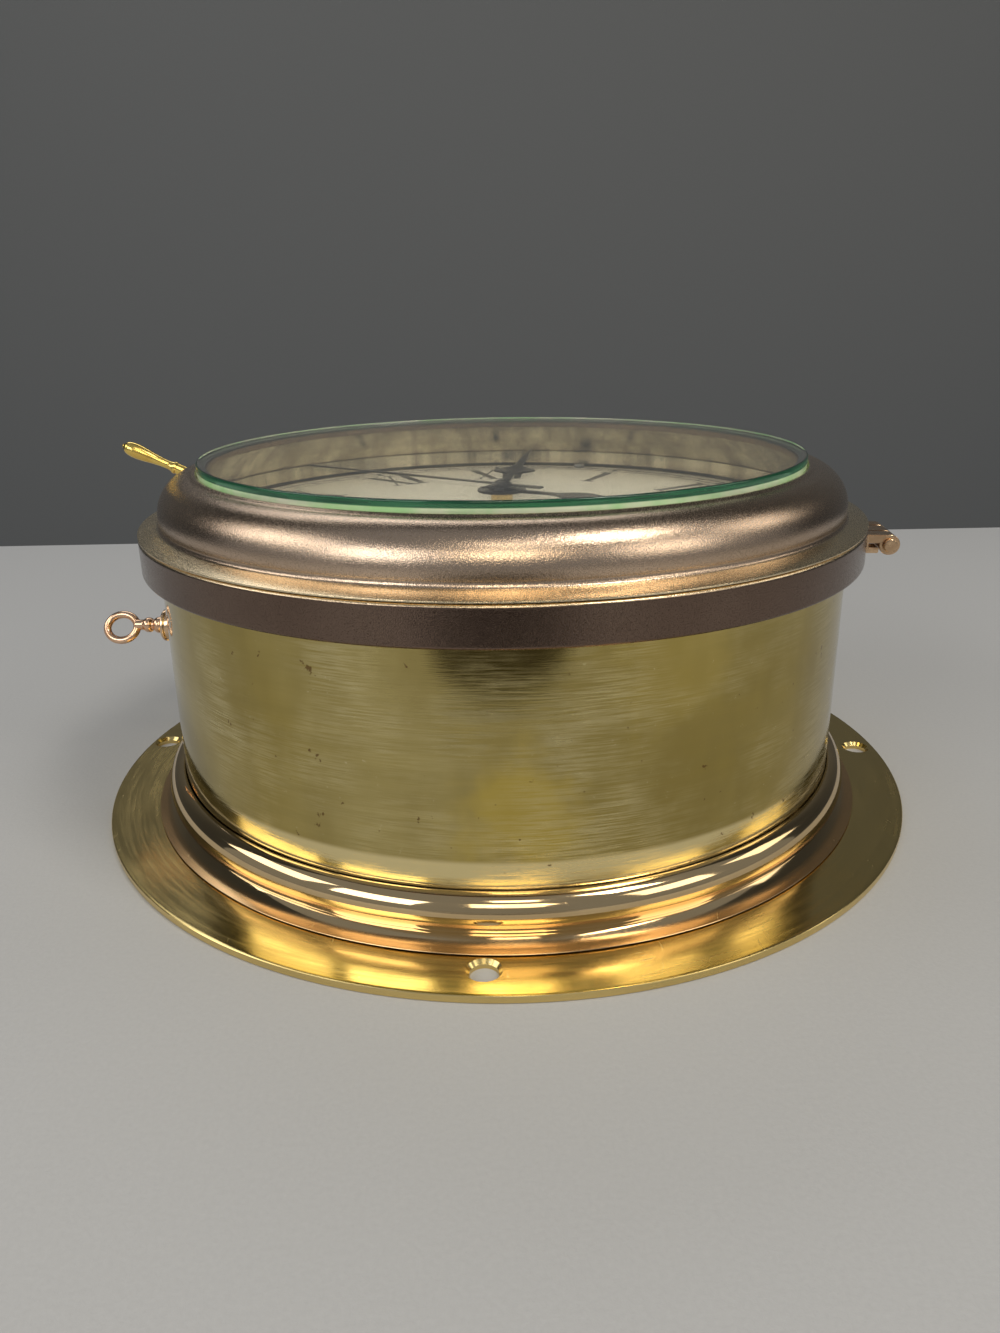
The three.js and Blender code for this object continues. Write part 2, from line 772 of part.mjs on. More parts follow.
function keySolid() {
  const bead = keyBead;
  const shank = onLock(turned([
    [0, keyBoreEnd + gap],
    [keyShank, keyBoreEnd + gap],
    [keyShank, nozzleEnd + 0.3],
    [bead * 0.88, nozzleEnd + 0.7],
    [bead, nozzleEnd + 1.8],
    [bead * 0.88, nozzleEnd + 2.9],
    [keyShank + 0.1, nozzleEnd + 3.4],
    [keyShank + 0.1, nozzleEnd + 3.9],
    [bead * 0.85, nozzleEnd + 4.4],
    [bead * 0.92, nozzleEnd + 5.3],
    [bead * 0.85, nozzleEnd + 6.2],
    [keyShank, nozzleEnd + 7],
    [keyShank, keyBowStart + 1.1],
    [0, keyBowStart + 1.1],
  ], 20), 0);
  const bow = new THREE.TorusGeometry(1, 0.2, 8, 20);
  const wire = keyBowWire / 2;
  const place = bow.attributes.position;
  const middle = (keyBowStart + keyBowEnd) / 2;
  for (let i = 0; i < place.count; i += 1) {
    const [x, y, z] = [place.getX(i), place.getY(i), place.getZ(i)];
    const out = Math.hypot(x, y);
    const side = (out - 1) / 0.2 * wire;
    place.setXYZ(
      i,
      middle + x / out * ((keyBowEnd - keyBowStart) / 2 - wire + side),
      z / 0.2 * wire,
      lockHeight - keyBowDrop + y / out * (keyBowHeight / 2 - wire + side),
    );
  }
  return join(shank, toSolid(bow));
}
add('lock_key', keySolid(), 'copper', lockSide);

// The lever is drawn upright round its pivot, then leaned to where the pin holds it.
const pinSide = lockPinThrow * Math.sin(radians(keyTurn / 2));
const pinDrop = lockPinThrow * Math.cos(radians(keyTurn / 2));
const leverLean = THREE.MathUtils.radToDeg(Math.atan(pinSide / (leverPivotRise + pinDrop)));
const pivotHeight = lockHeight + leverPivotRise;
function leverSolid() {
  const slotHalf = lockPinRadius + bearingSlack;
  const restPin = Math.hypot(pinSide, leverPivotRise + pinDrop);
  const slotTop = -restPin + lockPinRadius + 0.4;
  const tail = -leverPivotRise - lockPinThrow - lockPinRadius - 0.4;
  const side = slotHalf + 1.2;
  const top = leverNoseBottom + leverNoseHeight;
  const outline = [
    [-side, tail],
    [-slotHalf, tail],
    [-slotHalf, slotTop],
    [slotHalf, slotTop],
    [slotHalf, tail],
    [side, tail],
    [side, slotTop + 2],
    [leverArmHalf + 1.5, -2],
    [leverArmHalf + 1.5, 2],
    [leverArmHalf, 5],
    [leverArmHalf, top],
    [-leverArmHalf - leverNose, top],
    [-leverArmHalf - leverNose, leverNoseBottom],
    [-leverArmHalf, leverNoseBottom],
    [-leverArmHalf, 5],
    [-leverArmHalf - 1.5, 2],
    [-leverArmHalf - 1.5, -2],
    [-side, slotTop + 2],
  ];
  const flat = plate(outline, 0, leverThickness, [{ radius: leverPivotRadius + gap }]);
  const upright = flat.rotate([90, 0, 0]).rotate([0, 0, 90]);
  return moved(upright.rotate([-leverLean, 0, 0]), leverFace, 0, pivotHeight);
}
add('lock_lever', leverSolid(), 'steel', lockSide);

const pivotHead = leverFace - gap - leverPivotHeadHeight;
add('lever_pivot_screw', moved(alongX(turned([
  [0, 0],
  [leverPivotHead, 0],
  [leverPivotHead, leverPivotHeadHeight],
  [leverPivotRadius, leverPivotHeadHeight],
  [leverPivotRadius, drumInside - gap - pivotHead],
  [0, drumInside - gap - pivotHead],
], 12)), pivotHead, 0, pivotHeight), 'steel', lockSide);

const keeperOutside = Math.sqrt(bezelInside ** 2 - keeperFrom ** 2) - gap - 0.1;
add('bezel_keeper', box(
  [leverFace, keeperFrom, keeperBottom],
  [keeperOutside, keeperTo, keeperTop],
), 'steel', lockSide);

// Movement: posts, plates and pillars

const betweenLow = backTop + gap;
const betweenHigh = frontPlateBottom - gap;
const pillarPlaces = [45, 135, 225, 315].map((azimuth) => polar(pillarPlace, azimuth));
const tenonHoles = pillarPlaces.map(([x, y]) => ({ x, y, radius: tenonRadius + gap }));
add('movement_back_plate', plate(
  circle(plateRadius, 32), backPlateBottom, backTop, tenonHoles,
), 'brass');
add('movement_front_plate', plate(circle(plateRadius, 32), frontPlateBottom, frontTop, [
  { radius: centreTube + gap, segments: 16 },
  { x: barrelPlace[0], y: barrelPlace[1], radius: windingRadius + gap, segments: 16 },
  ...tenonHoles,
]), 'brass');

const postTop = backPlateBottom - gap;
const post = turned([
  [0, backPlateThickness + gap],
  [postRadius, backPlateThickness + gap],
  [postRadius, postTop],
  [tenonRadius + gap, postTop],
  [tenonRadius + gap, postTop - postSocket],
  [0, postTop - postSocket],
], 12);
const pillar = turned([
  [0, postTop - tenonLength],
  [tenonRadius, postTop - tenonLength],
  [tenonRadius, betweenLow],
  [pillarRadius, betweenLow],
  [pillarRadius, betweenHigh],
  [tenonRadius, betweenHigh],
  [tenonRadius, frontTop + pillarNut],
  [0, frontTop + pillarNut],
], 12);
pillarPlaces.forEach(([x, y], i) => {
  add(`movement_post_${i + 1}`, moved(post, x, y, 0), 'brass');
  add(`movement_pillar_${i + 1}`, moved(pillar, x, y, 0), 'brass');
});

// Mainspring barrel with the great wheel as its cover

add('barrel_drum', turned([
  [windingRadius + gap, barrelBottom],
  [barrelRadius, barrelBottom],
  [barrelRadius, barrelTop],
  [barrelRadius - barrelWall, barrelTop],
  [barrelRadius - barrelWall, barrelBottom + barrelWall],
  [windingRadius + gap, barrelBottom + barrelWall],
], 32), 'brass', barrelGroup);
add('great_wheel', wheel(greatTeeth, greatModule, barrelTop + gap, greatTop, {
  bore: windingRadius + gap,
  direction: meshed(barrelDirection, greatTeeth),
}), 'brass', barrelGroup);
add('mainspring', spiral(
  windingRadius + 1.6,
  barrelRadius - barrelWall - springThickness - gap,
  springTurns,
  springThickness,
  barrelBottom + barrelWall + gap,
  barrelTop,
), 'steel', barrelGroup);
add('winding_arbor', join(
  rod(windingRadius, betweenLow, ratchetTop + windingShoulder),
  box([-windingSquare, -windingSquare, ratchetTop], [windingSquare, windingSquare, windingTop]),
), 'steel', barrelGroup);

const ratchetOutline = Array.from({ length: ratchetTeeth }, (_, i) => [
  polar(ratchetRadius, 360 * i / ratchetTeeth),
  polar(ratchetRadius - 1.3, 360 * (i + 0.08) / ratchetTeeth),
]).flat();
add('ratchet_wheel', plate(ratchetOutline, ratchetBottom, ratchetTop, [
  { radius: windingRadius + gap },
]), 'steel', barrelGroup);
const clickPlace = [ratchetRadius + 9.2, 3.4];
add('click', join(
  plate([[0, -2.4], [8.5, -1], [8.5, 0.4], [0, 2.4], [-2.4, 0]], ratchetBottom, ratchetTop),
  rod(1.4, ratchetBottom, ratchetTop + 0.6, 12),
).rotate([0, 0, 200]).translate([...clickPlace, 0]), 'steel', barrelGroup);
add('click_spring', plate([
  [clickPlace[0] - 8, clickPlace[1] + 11],
  [clickPlace[0] - 8, clickPlace[1] + 8.6],
  [clickPlace[0] - 6.6, clickPlace[1] + 8.6],
  [clickPlace[0] - 2.2, clickPlace[1] + 2.4],
  [clickPlace[0] - 1.6, clickPlace[1] + 2.9],
  [clickPlace[0] - 5, clickPlace[1] + 8.6],
  [clickPlace[0] - 5, clickPlace[1] + 11],
], ratchetBottom, ratchetTop), 'steel', barrelGroup);

// Centre arbor with its wheel and pinion, and the cannon pinion above it

const centrePinionLow = barrelTop + gap - centrePinionOverlap;
const centrePinionTop = greatTop + centrePinionOverlap;
add('centre_wheel', join(
  ring(secondsBore, centreTube, centrePinionLow - centrePinionOverlap, centreTubeTop, 12),
  wheel(centrePinion, greatModule, centrePinionLow, centrePinionTop, {
    bore: secondsBore, direction: barrelDirection,
  }),
  wheel(centreTeeth, centreModule, centreWheelLow, centreWheelLow + wheelThickness, {
    bore: secondsBore, direction: thirdDirection, windows: 4,
  }),
), 'brass');
add('cannon_pinion', join(
  ring(secondsBore, cannonTube, cannonLow, minuteHandBottom - gap, 12),
  wheel(cannonTeeth, motionModule, cannonLow, cannonPinionTop, {
    bore: secondsBore, direction: minuteDirection,
  }),
), 'steel');

// Third wheel, then the seconds arbor with its pinion and the fourth wheel

const thirdDistance = pitchRadius(centreTeeth, centreModule) + pitchRadius(thirdPinion, centreModule);
const thirdModule = 2 * thirdDistance / (thirdTeeth + secondsPinion);
const pinionSpan = (low, thickness) => [low - pinionOverlap, low + thickness + pinionOverlap];
add('third_wheel', join(
  rod(arborRadius, betweenLow, betweenHigh, 8),
  wheel(thirdPinion, centreModule, ...pinionSpan(centreWheelLow, wheelThickness), {
    direction: meshed(thirdDirection, thirdPinion),
  }),
  wheel(thirdTeeth, thirdModule, thirdWheelLow, thirdWheelLow + wheelThickness, {
    direction: thirdDirection + 180, windows: 4,
  }),
), 'brass', axisGroup(polar(thirdDistance, thirdDirection)));
add('seconds_arbor', join(
  rod(arborRadius, betweenLow, secondsHandTop + arborEnd, 8),
  wheel(secondsPinion, thirdModule, ...pinionSpan(thirdWheelLow, wheelThickness), {
    direction: meshed(thirdDirection + 180, secondsPinion),
  }),
  wheel(fourthTeeth, fourthModule, fourthWheelLow, fourthWheelLow + lightWheelThickness, {
    direction: escapeDirection, windows: 4,
  }),
), 'brass');

// Escapement under its bridge

const escapeDistance = pitchRadius(fourthTeeth, fourthModule) + pitchRadius(escapePinion, fourthModule);
const staffTop = bridgeBottom - gap;
const escapeOutline = Array.from({ length: escapeTeeth }, (_, i) => [
  polar(escapeRadius, 360 * i / escapeTeeth),
  polar(escapeRadius, 360 * (i + 0.16) / escapeTeeth),
  polar(escapeRadius * 0.76, 360 * (i + 0.3) / escapeTeeth),
  polar(escapeRadius * 0.76, 360 * (i + 0.92) / escapeTeeth),
]).flat();
add('escape_wheel', join(
  plate(escapeOutline, escapeBottom, escapeTop),
  rod(arborRadius, betweenLow, staffTop, 8),
  wheel(escapePinion, fourthModule, ...pinionSpan(fourthWheelLow, lightWheelThickness), {
    direction: meshed(escapeDirection, escapePinion),
  }),
), 'brass', axisGroup(polar(escapeDistance, escapeDirection)));

function palletOutline() {
  const centre = [-leverDistance, 0];
  const outer = escapeRadius + 2.8;
  const inner = escapeRadius + 1.6;
  const stone = escapeRadius + 1;
  return [
    ...arc(centre, outer, outer, -60, 60, 12),
    ...arc(centre, stone, stone, 60, 54, 1),
    ...arc(centre, inner, inner, 54, -54, 12),
    ...arc(centre, stone, stone, -54, -60, 1),
  ];
}
add('pallet_lever', join(
  plate(palletOutline(), escapeBottom, escapeTop),
  rod(1.6, escapeBottom, escapeTop, 12),
  plate([
    [0, -0.7], [6.2, -0.7], [6.8, -1.5], [7.5, -1.5], [7.5, -0.6], [6.6, -0.6],
    [6.6, 0.6], [7.5, 0.6], [7.5, 1.5], [6.8, 1.5], [6.2, 0.7], [0, 0.7],
  ], escapeBottom, escapeTop),
  rod(arborRadius, betweenLow, staffTop, 8),
), 'steel', axisGroup(polar(escapeDistance + leverDistance, escapeDirection), escapeDirection));

const balancePlace = polar(escapeDistance + leverDistance + balanceDistance, escapeDirection);
const balanceGroup = axisGroup(balancePlace, escapeDirection);
add('balance_wheel', join(
  ring(balanceRadius - 1.4, balanceRadius, balanceBottom, balanceTop, 32),
  box([-balanceRadius + 0.7, -0.8, balanceBottom], [balanceRadius - 0.7, 0.8, balanceTop]),
  rod(2.4, escapeBottom, escapeTop, 12),
  rod(arborRadius, betweenLow, staffTop, 8),
), 'brass', balanceGroup);
add('hairspring', spiral(1.6, 6, 3, 0.3, balanceTop + 1.4, balanceTop + 2.2), 'steel', balanceGroup);

const bridgeFootEnd = bridgeTo - bridgeFootInset;
const bridgeGroup = axisGroup([0, 0], escapeDirection);
add('platform_bridge', join(
  box(
    [bridgeFrom, -bridgeHalf, bridgeBottom],
    [bridgeTo, bridgeHalf, bridgeBottom + bridgeThickness],
  ),
  box(
    [bridgeFootEnd - bridgeFootWidth, -bridgeHalf, betweenLow],
    [bridgeFootEnd, bridgeHalf, bridgeBottom + bridgeThickness / 2],
  ),
), 'brass', bridgeGroup);

// Motion work under the dial

const minuteDistance = pitchRadius(cannonTeeth, motionModule) + pitchRadius(minuteTeeth, motionModule);
const minuteGroup = axisGroup(polar(minuteDistance, minuteDirection));
add('minute_wheel', join(
  wheel(minuteTeeth, motionModule, minuteWheelLow, minuteWheelTop, {
    bore: minutePostBore, direction: meshed(minuteDirection, minuteTeeth), windows: 4,
  }),
  wheel(minutePinion, motionModule, minuteWheelTop - minutePinionOverlap, minutePinionTop, {
    bore: minutePostBore, direction: minuteDirection + 180,
  }),
), 'brass', minuteGroup);
add('minute_wheel_post', turned([
  [0, frontTop + gap],
  [minutePostBore + minutePostWall, frontTop + gap],
  [minutePostBore + minutePostWall, minuteWheelLow - gap],
  [minutePostBore - gap, minuteWheelLow - gap],
  [minutePostBore - gap, minutePinionTop + minutePostRise],
  [0, minutePinionTop + minutePostRise],
], 12), 'steel', minuteGroup);
add('hour_wheel', join(
  wheel(hourTeeth, motionModule, hourWheelLow, hourWheelLow + wheelThickness, {
    bore: hourBore, direction: meshed(minuteDirection + 180, hourTeeth), windows: 4,
  }),
  ring(hourBore, hourPipe, hourWheelLow, hourHandBottom - gap, 12),
), 'brass');

// Hands

function hand(half, hub, bore, low, high, direction) {
  const mirror = half.slice(1, -1).reverse().map(([x, y]) => [x, -y]);
  const blade = plate([...half, ...mirror], low, high);
  const body = join(blade, rod(hub, low, high, 24));
  return cut(body, rod(bore, low - 1, high + 1, 12)).rotate([0, 0, direction]);
}

add('hour_hand', hand([
  [-1, 0],
  [0, -1.3],
  [18, -1.1],
  [20.5, -2.6],
  [24, -4.1],
  [27.5, -4.3],
  [31, -3],
  [35, -1.5],
  [hourHandLength - 3, -0.7],
  [hourHandLength, 0],
], hourHub, hourBore, hourHandBottom, hourHandTop, hourHandAngle), 'black');
add('minute_hand', hand([
  [-9, 0],
  [-9, -1.4],
  [0, -1.3],
  [24, -1.1],
  [28, -5.2],
  [31, -6.8],
  [33.5, -5],
  [36.5, -3.4],
  [42, -1.5],
  [60, -1.1],
  [minuteHandLength - 2, -0.5],
  [minuteHandLength, 0],
], minuteHub, secondsBore, minuteHandBottom, minuteHandTop, minuteHandAngle), 'black');
add('seconds_hand', hand([
  [-14, 0],
  [-14, -1.2],
  [0, -0.7],
  [secondsHandLength - 1, -0.3],
  [secondsHandLength, 0],
], secondsHub, secondsBore, secondsHandBottom, secondsHandTop, secondsHandAngle), 'black');

export default clock;
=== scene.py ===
import json
import math

import bmesh
import bpy
from mathutils import Matrix, Vector
from mathutils.geometry import delaunay_2d_cdt


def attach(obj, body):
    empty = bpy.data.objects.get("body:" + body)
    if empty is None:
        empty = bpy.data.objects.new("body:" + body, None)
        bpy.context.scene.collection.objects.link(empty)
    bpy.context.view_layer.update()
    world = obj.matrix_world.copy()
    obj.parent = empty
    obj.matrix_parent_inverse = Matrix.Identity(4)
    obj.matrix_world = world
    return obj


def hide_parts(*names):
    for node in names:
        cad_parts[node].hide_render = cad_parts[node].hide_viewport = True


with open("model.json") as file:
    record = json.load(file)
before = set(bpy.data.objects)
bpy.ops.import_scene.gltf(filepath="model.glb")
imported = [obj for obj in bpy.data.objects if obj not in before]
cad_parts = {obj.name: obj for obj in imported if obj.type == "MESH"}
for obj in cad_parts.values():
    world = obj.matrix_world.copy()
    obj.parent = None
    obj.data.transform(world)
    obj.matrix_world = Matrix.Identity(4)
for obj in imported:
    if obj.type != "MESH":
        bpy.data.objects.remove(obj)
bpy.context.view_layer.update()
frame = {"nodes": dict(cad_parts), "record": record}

nodes = frame["nodes"]

# All lengths in the tables below are millimetres, in the clock's own frame.
MM = 0.001
FINEST = 288
FINE = 240
SMALL = 48
TINY = 1e-6
SHARP_ANGLE = math.radians(32)
NEARLY_STRAIGHT = math.radians(155)


# Outlines

def polar(radius, azimuth):
    turn = math.radians(azimuth)
    return radius * math.cos(turn), radius * math.sin(turn)


def arc(centre, width, height, start, end, steps):
    points = []
    for i in range(steps + 1):
        turn = math.radians(start + (end - start) * i / steps)
        points.append((centre[0] + width * math.cos(turn), centre[1] + height * math.sin(turn)))
    return points


def eased(outline, radius, steps=3):
    """The closed outline with each hard corner rounded by about the radius."""
    points = []
    count = len(outline)
    for i, corner in enumerate(outline):
        here = Vector(corner)
        back = Vector(outline[i - 1]) - here
        on = Vector(outline[(i + 1) % count]) - here
        on_axis = abs(corner[0]) < TINY
        if on_axis or back.length < TINY or on.length < TINY or back.angle(on) > NEARLY_STRAIGHT:
            points.append(corner)
            continue
        start = here + back.normalized() * min(radius, 0.4 * back.length)
        end = here + on.normalized() * min(radius, 0.4 * on.length)
        flat_before = here + back.normalized() * min(2 * radius, 0.47 * back.length)
        flat_after = here + on.normalized() * min(2 * radius, 0.47 * on.length)
        points.append((flat_before.x, flat_before.y))
        for k in range(steps + 1):
            t = k / steps
            point = start * (1 - t) ** 2 + here * 2 * t * (1 - t) + end * t ** 2
            points.append((point.x, point.y))
        points.append((flat_after.x, flat_after.y))
    return points


def flowing(points, steps=6):
    """The open line of points, made smooth through them."""
    line = []
    for i in range(len(points) - 1):
        before = Vector(points[max(i - 1, 0)])
        start = Vector(points[i])
        end = Vector(points[i + 1])
        after = Vector(points[min(i + 2, len(points) - 1)])
        for k in range(steps):
            t = k / steps
            point = 0.5 * (
                2 * start
                + (end - before) * t
                + (2 * before - 5 * start + 4 * end - after) * t ** 2
                + (3 * start - before - 3 * end + after) * t ** 3
            )
            line.append((point.x, point.y))
    line.append(points[-1])
    return line


# Meshes

def new_object(name, verts, faces):
    mesh = bpy.data.meshes.new(name)
    mesh.from_pydata([[value * MM for value in vert] for vert in verts], [], faces)
    piece = bpy.data.objects.new(name, mesh)
    bpy.context.scene.collection.objects.link(piece)
    tidy(piece)
    return piece


def tidy(piece):
    """Outward faces, smooth curves and crisp corners."""
    work = bmesh.new()
    work.from_mesh(piece.data)
    bmesh.ops.remove_doubles(work, verts=work.verts, dist=1e-7)
    bmesh.ops.recalc_face_normals(work, faces=work.faces)
    work.to_mesh(piece.data)
    work.free()
    piece.data.shade_smooth()
    piece.data.set_sharp_from_angle(angle=SHARP_ANGLE)


def turned(name, outline, segments=FINE):
    """A closed (radius, height) outline turned about the clock's axis."""
    verts = []
    rings = []
    for radius, height in outline:
        first = len(verts)
        if radius < TINY:
            verts.append((0, 0, height))
        else:
            for i in range(segments):
                x, y = polar(radius, 360 * i / segments)
                verts.append((x, y, height))
        rings.append(range(first, len(verts)))
    faces = []
    for low, high in zip(rings, [*rings[1:], rings[0]]):
        if len(low) == 1 and len(high) == 1:
            continue
        for i in range(segments):
            j = (i + 1) % segments
            loop = [low[i % len(low)], low[j % len(low)], high[j % len(high)], high[i % len(high)]]
            faces.append(list(dict.fromkeys(loop)))
    return new_object(name, verts, faces)


def block(name, low, high, edge=0.0):
    """A bar between two corners, with its edges eased."""
    corners = [(x, y, z) for x in (low[0], high[0]) for y in (low[1], high[1]) for z in (low[2], high[2])]
    faces = [(0, 1, 3, 2), (4, 6, 7, 5), (0, 4, 5, 1), (2, 3, 7, 6), (0, 2, 6, 4), (1, 5, 7, 3)]
    piece = new_object(name, corners, faces)
    if edge:
        work = bmesh.new()
        work.from_mesh(piece.data)
        bmesh.ops.bevel(work, geom=work.edges, offset=edge * MM, segments=2, affect="EDGES")
        work.to_mesh(piece.data)
        work.free()
        tidy(piece)
    return piece


def sheet_of(name, outlines, low, high, edge=0.0):
    """Flat outlines, merged where they overlap, raised from low to high."""
    points = []
    loops = []
    for outline in outlines:
        loops.append(list(range(len(points), len(points) + len(outline))))
        points.extend(Vector(point) for point in outline)
    flat, _, cells, _, _, owners = delaunay_2d_cdt(points, [], loops, 1, 1e-5)
    work = bmesh.new()
    corners = [work.verts.new((x * MM, y * MM, high * MM)) for x, y in flat]
    for cell, owner in zip(cells, owners):
        if owner:
            work.faces.new([corners[i] for i in cell])
    bmesh.ops.delete(work, geom=[vert for vert in work.verts if not vert.link_faces], context="VERTS")
    bmesh.ops.recalc_face_normals(work, faces=work.faces)
    top = list(work.faces)
    raised = bmesh.ops.extrude_face_region(work, geom=top, use_keep_orig=True)
    moved = [item for item in raised["geom"] if isinstance(item, bmesh.types.BMVert)]
    bmesh.ops.translate(work, verts=moved, vec=(0, 0, (low - high) * MM))
    bmesh.ops.recalc_face_normals(work, faces=work.faces)
    if edge:
        rim = [
            side for side in work.edges
            if len(side.link_faces) == 2 and side.calc_face_angle() > 1.2
            and all(abs(vert.co.z - high * MM) < 1e-7 for vert in side.verts)
        ]
        bmesh.ops.bevel(work, geom=rim, offset=edge * MM, segments=2, affect="EDGES", clamp_overlap=True)
    mesh = bpy.data.meshes.new(name)
    work.to_mesh(mesh)
    work.free()
    piece = bpy.data.objects.new(name, mesh)
    bpy.context.scene.collection.objects.link(piece)
    tidy(piece)
    return piece


def combined(piece, tool, operation):
    """The piece joined to the tool, or cut by it. The tool goes."""
    change = piece.modifiers.new("change", "BOOLEAN")
    change.operation = operation
    change.object = tool
    change.solver = "EXACT"
    result = piece.evaluated_get(bpy.context.evaluated_depsgraph_get())
    mesh = bpy.data.meshes.new_from_object(result)
    piece.modifiers.clear()
    piece.data = mesh
    bpy.data.objects.remove(tool)
    tidy(piece)
    return piece


def cut(piece, *tools):
    for tool in tools:
        combined(piece, tool, "DIFFERENCE")
    return piece


def joined(piece, *others):
    for other in others:
        combined(piece, other, "UNION")
    return piece


def placed(piece, matrix):
    piece.data.transform(matrix)
    piece.data.update()
    return piece


def shifted(piece, x, y, z):
    return placed(piece, Matrix.Translation((x * MM, y * MM, z * MM)))


def round_z(azimuth):
    return Matrix.Rotation(math.radians(azimuth), 4, "Z")


ALONG_X = Matrix.Rotation(math.radians(90), 4, "Y")
ALONG_Y = Matrix.Rotation(math.radians(-90), 4, "X")


def rod(radius, low, high, edge=0.0):
    outline = [(0, low), (radius, low), (radius, high), (0, high)]
    return turned("rod", eased(outline, edge) if edge else outline, SMALL)


# Shader groups

def new_group(name, inputs, outputs):
    group = bpy.data.node_groups.new(name, "ShaderNodeTree")
    for label, value in inputs:
        socket = group.interface.new_socket(label, in_out="INPUT", socket_type="NodeSocketFloat")
        socket.default_value = value
    for label in outputs:
        group.interface.new_socket(label, in_out="OUTPUT", socket_type="NodeSocketFloat")
    start = group.nodes.new("NodeGroupInput")
    end = group.nodes.new("NodeGroupOutput")
    return group, start, end


def feed(tree, socket, value):
    """Links a socket into an input, or sets the input to a number or a colour."""
    if isinstance(value, bpy.types.NodeSocket):
        tree.links.new(value, socket)
    elif value is not None:
        socket.default_value = value


def sums(tree, operation, *values, clamp=False):
    node = tree.nodes.new("ShaderNodeMath")
    node.operation = operation
    node.use_clamp = clamp
    for socket, value in zip(node.inputs, values):
        feed(tree, socket, value)
    return node.outputs[0]


def vector_of(tree, x, y, z):
    node = tree.nodes.new("ShaderNodeCombineXYZ")
    for socket, value in zip(node.inputs, (x, y, z)):
        feed(tree, socket, value)
    return node.outputs[0]


def noise(tree, vector, scale, detail=2.0, roughness=0.5):
    node = tree.nodes.new("ShaderNodeTexNoise")
    feed(tree, node.inputs["Vector"], vector)
    feed(tree, node.inputs["Scale"], scale)
    node.inputs["Detail"].default_value = detail
    node.inputs["Roughness"].default_value = roughness
    return node.outputs[0]


def ramped(tree, value, low, high, start=0.0, end=1.0):
    node = tree.nodes.new("ShaderNodeMapRange")
    node.interpolation_type = "SMOOTHSTEP"
    labels = ("Value", "From Min", "From Max", "To Min", "To Max")
    for label, item in zip(labels, (value, low, high, start, end)):
        feed(tree, node.inputs[label], item)
    return node.outputs[0]


def object_point(tree):
    return tree.nodes.new("ShaderNodeTexCoord").outputs["Object"]


def parts_of(tree, vector):
    node = tree.nodes.new("ShaderNodeSeparateXYZ")
    tree.links.new(vector, node.inputs[0])
    return node.outputs


def radius_of(tree, x, y):
    return sums(tree, "SQRT", sums(tree, "ADD", sums(tree, "MULTIPLY", x, x), sums(tree, "MULTIPLY", y, y)))


def make_lathe_lines():
    """Fine strokes that run round the clock's axis, on walls and on flats."""
    tree, start, end = new_group("lathe_lines", [("Across", 2600.0), ("Along", 45.0)], ["Lines"])
    x, y, z = parts_of(tree, object_point(tree))
    across = sums(tree, "ADD", z, sums(tree, "MULTIPLY", radius_of(tree, x, y), 0.8))
    vector = vector_of(
        tree,
        sums(tree, "MULTIPLY", x, start.outputs["Along"]),
        sums(tree, "MULTIPLY", y, start.outputs["Along"]),
        sums(tree, "MULTIPLY", across, start.outputs["Across"]),
    )
    feed(tree, end.inputs["Lines"], ramped(tree, noise(tree, vector, 1.0, 3.0, 0.6), 0.34, 0.66))
    return tree


def make_wall_streaks():
    """Streaks that run up a wall."""
    tree, start, end = new_group("wall_streaks", [("Around", 700.0), ("Up", 14.0)], ["Streaks"])
    x, y, z = parts_of(tree, object_point(tree))
    vector = vector_of(
        tree,
        sums(tree, "MULTIPLY", x, start.outputs["Around"]),
        sums(tree, "MULTIPLY", y, start.outputs["Around"]),
        sums(tree, "MULTIPLY", z, start.outputs["Up"]),
    )
    feed(tree, end.inputs["Streaks"], ramped(tree, noise(tree, vector, 1.0, 4.0, 0.6), 0.34, 0.66))
    return tree


def make_cast_grain():
    """Small close pits, as on cast metal that was buffed afterwards."""
    tree, start, end = new_group("cast_grain", [("Scale", 2300.0), ("Openness", 0.5)], ["Grain", "Pits"])
    grain = ramped(tree, noise(tree, object_point(tree), start.outputs["Scale"], 2.0, 0.6), 0.3, 0.7)
    feed(tree, end.inputs["Grain"], grain)
    low = sums(tree, "SUBTRACT", start.outputs["Openness"], 0.14)
    feed(tree, end.inputs["Pits"], ramped(tree, grain, low, start.outputs["Openness"], 1.0, 0.0))
    return tree


def make_tarnish():
    """Broad cloudy patches, and a few small dark spots."""
    tree, start, end = new_group("tarnish", [("Scale", 16.0), ("Spot Size", 0.3)], ["Patches", "Spots"])
    point = object_point(tree)
    patches = noise(tree, point, start.outputs["Scale"], 4.0, 0.55)
    feed(tree, end.inputs["Patches"], ramped(tree, patches, 0.38, 0.66))
    spots = noise(tree, point, sums(tree, "MULTIPLY", start.outputs["Scale"], 11.0), 3.0, 0.7)
    edge = sums(tree, "SUBTRACT", 0.8, sums(tree, "MULTIPLY", start.outputs["Spot Size"], 0.3))
    feed(tree, end.inputs["Spots"], ramped(tree, spots, edge, sums(tree, "ADD", edge, 0.04)))
    return tree


def make_fine_scratches():
    """Hair scratches in every direction."""
    tree, start, end = new_group("fine_scratches", [("Scale", 60.0)], ["Scratches"])
    point = object_point(tree)
    bend = noise(tree, point, 40.0, 2.0)
    x, y, z = parts_of(tree, point)
    slant = sums(tree, "ADD", sums(tree, "MULTIPLY", x, 9.0), sums(tree, "MULTIPLY", bend, 0.12))
    vector = vector_of(tree, slant, sums(tree, "MULTIPLY", y, 0.9), sums(tree, "MULTIPLY", z, 9.0))
    lines = noise(tree, vector, start.outputs["Scale"], 6.0, 0.75)
    feed(tree, end.inputs["Scratches"], ramped(tree, lines, 0.64, 0.7))
    return tree


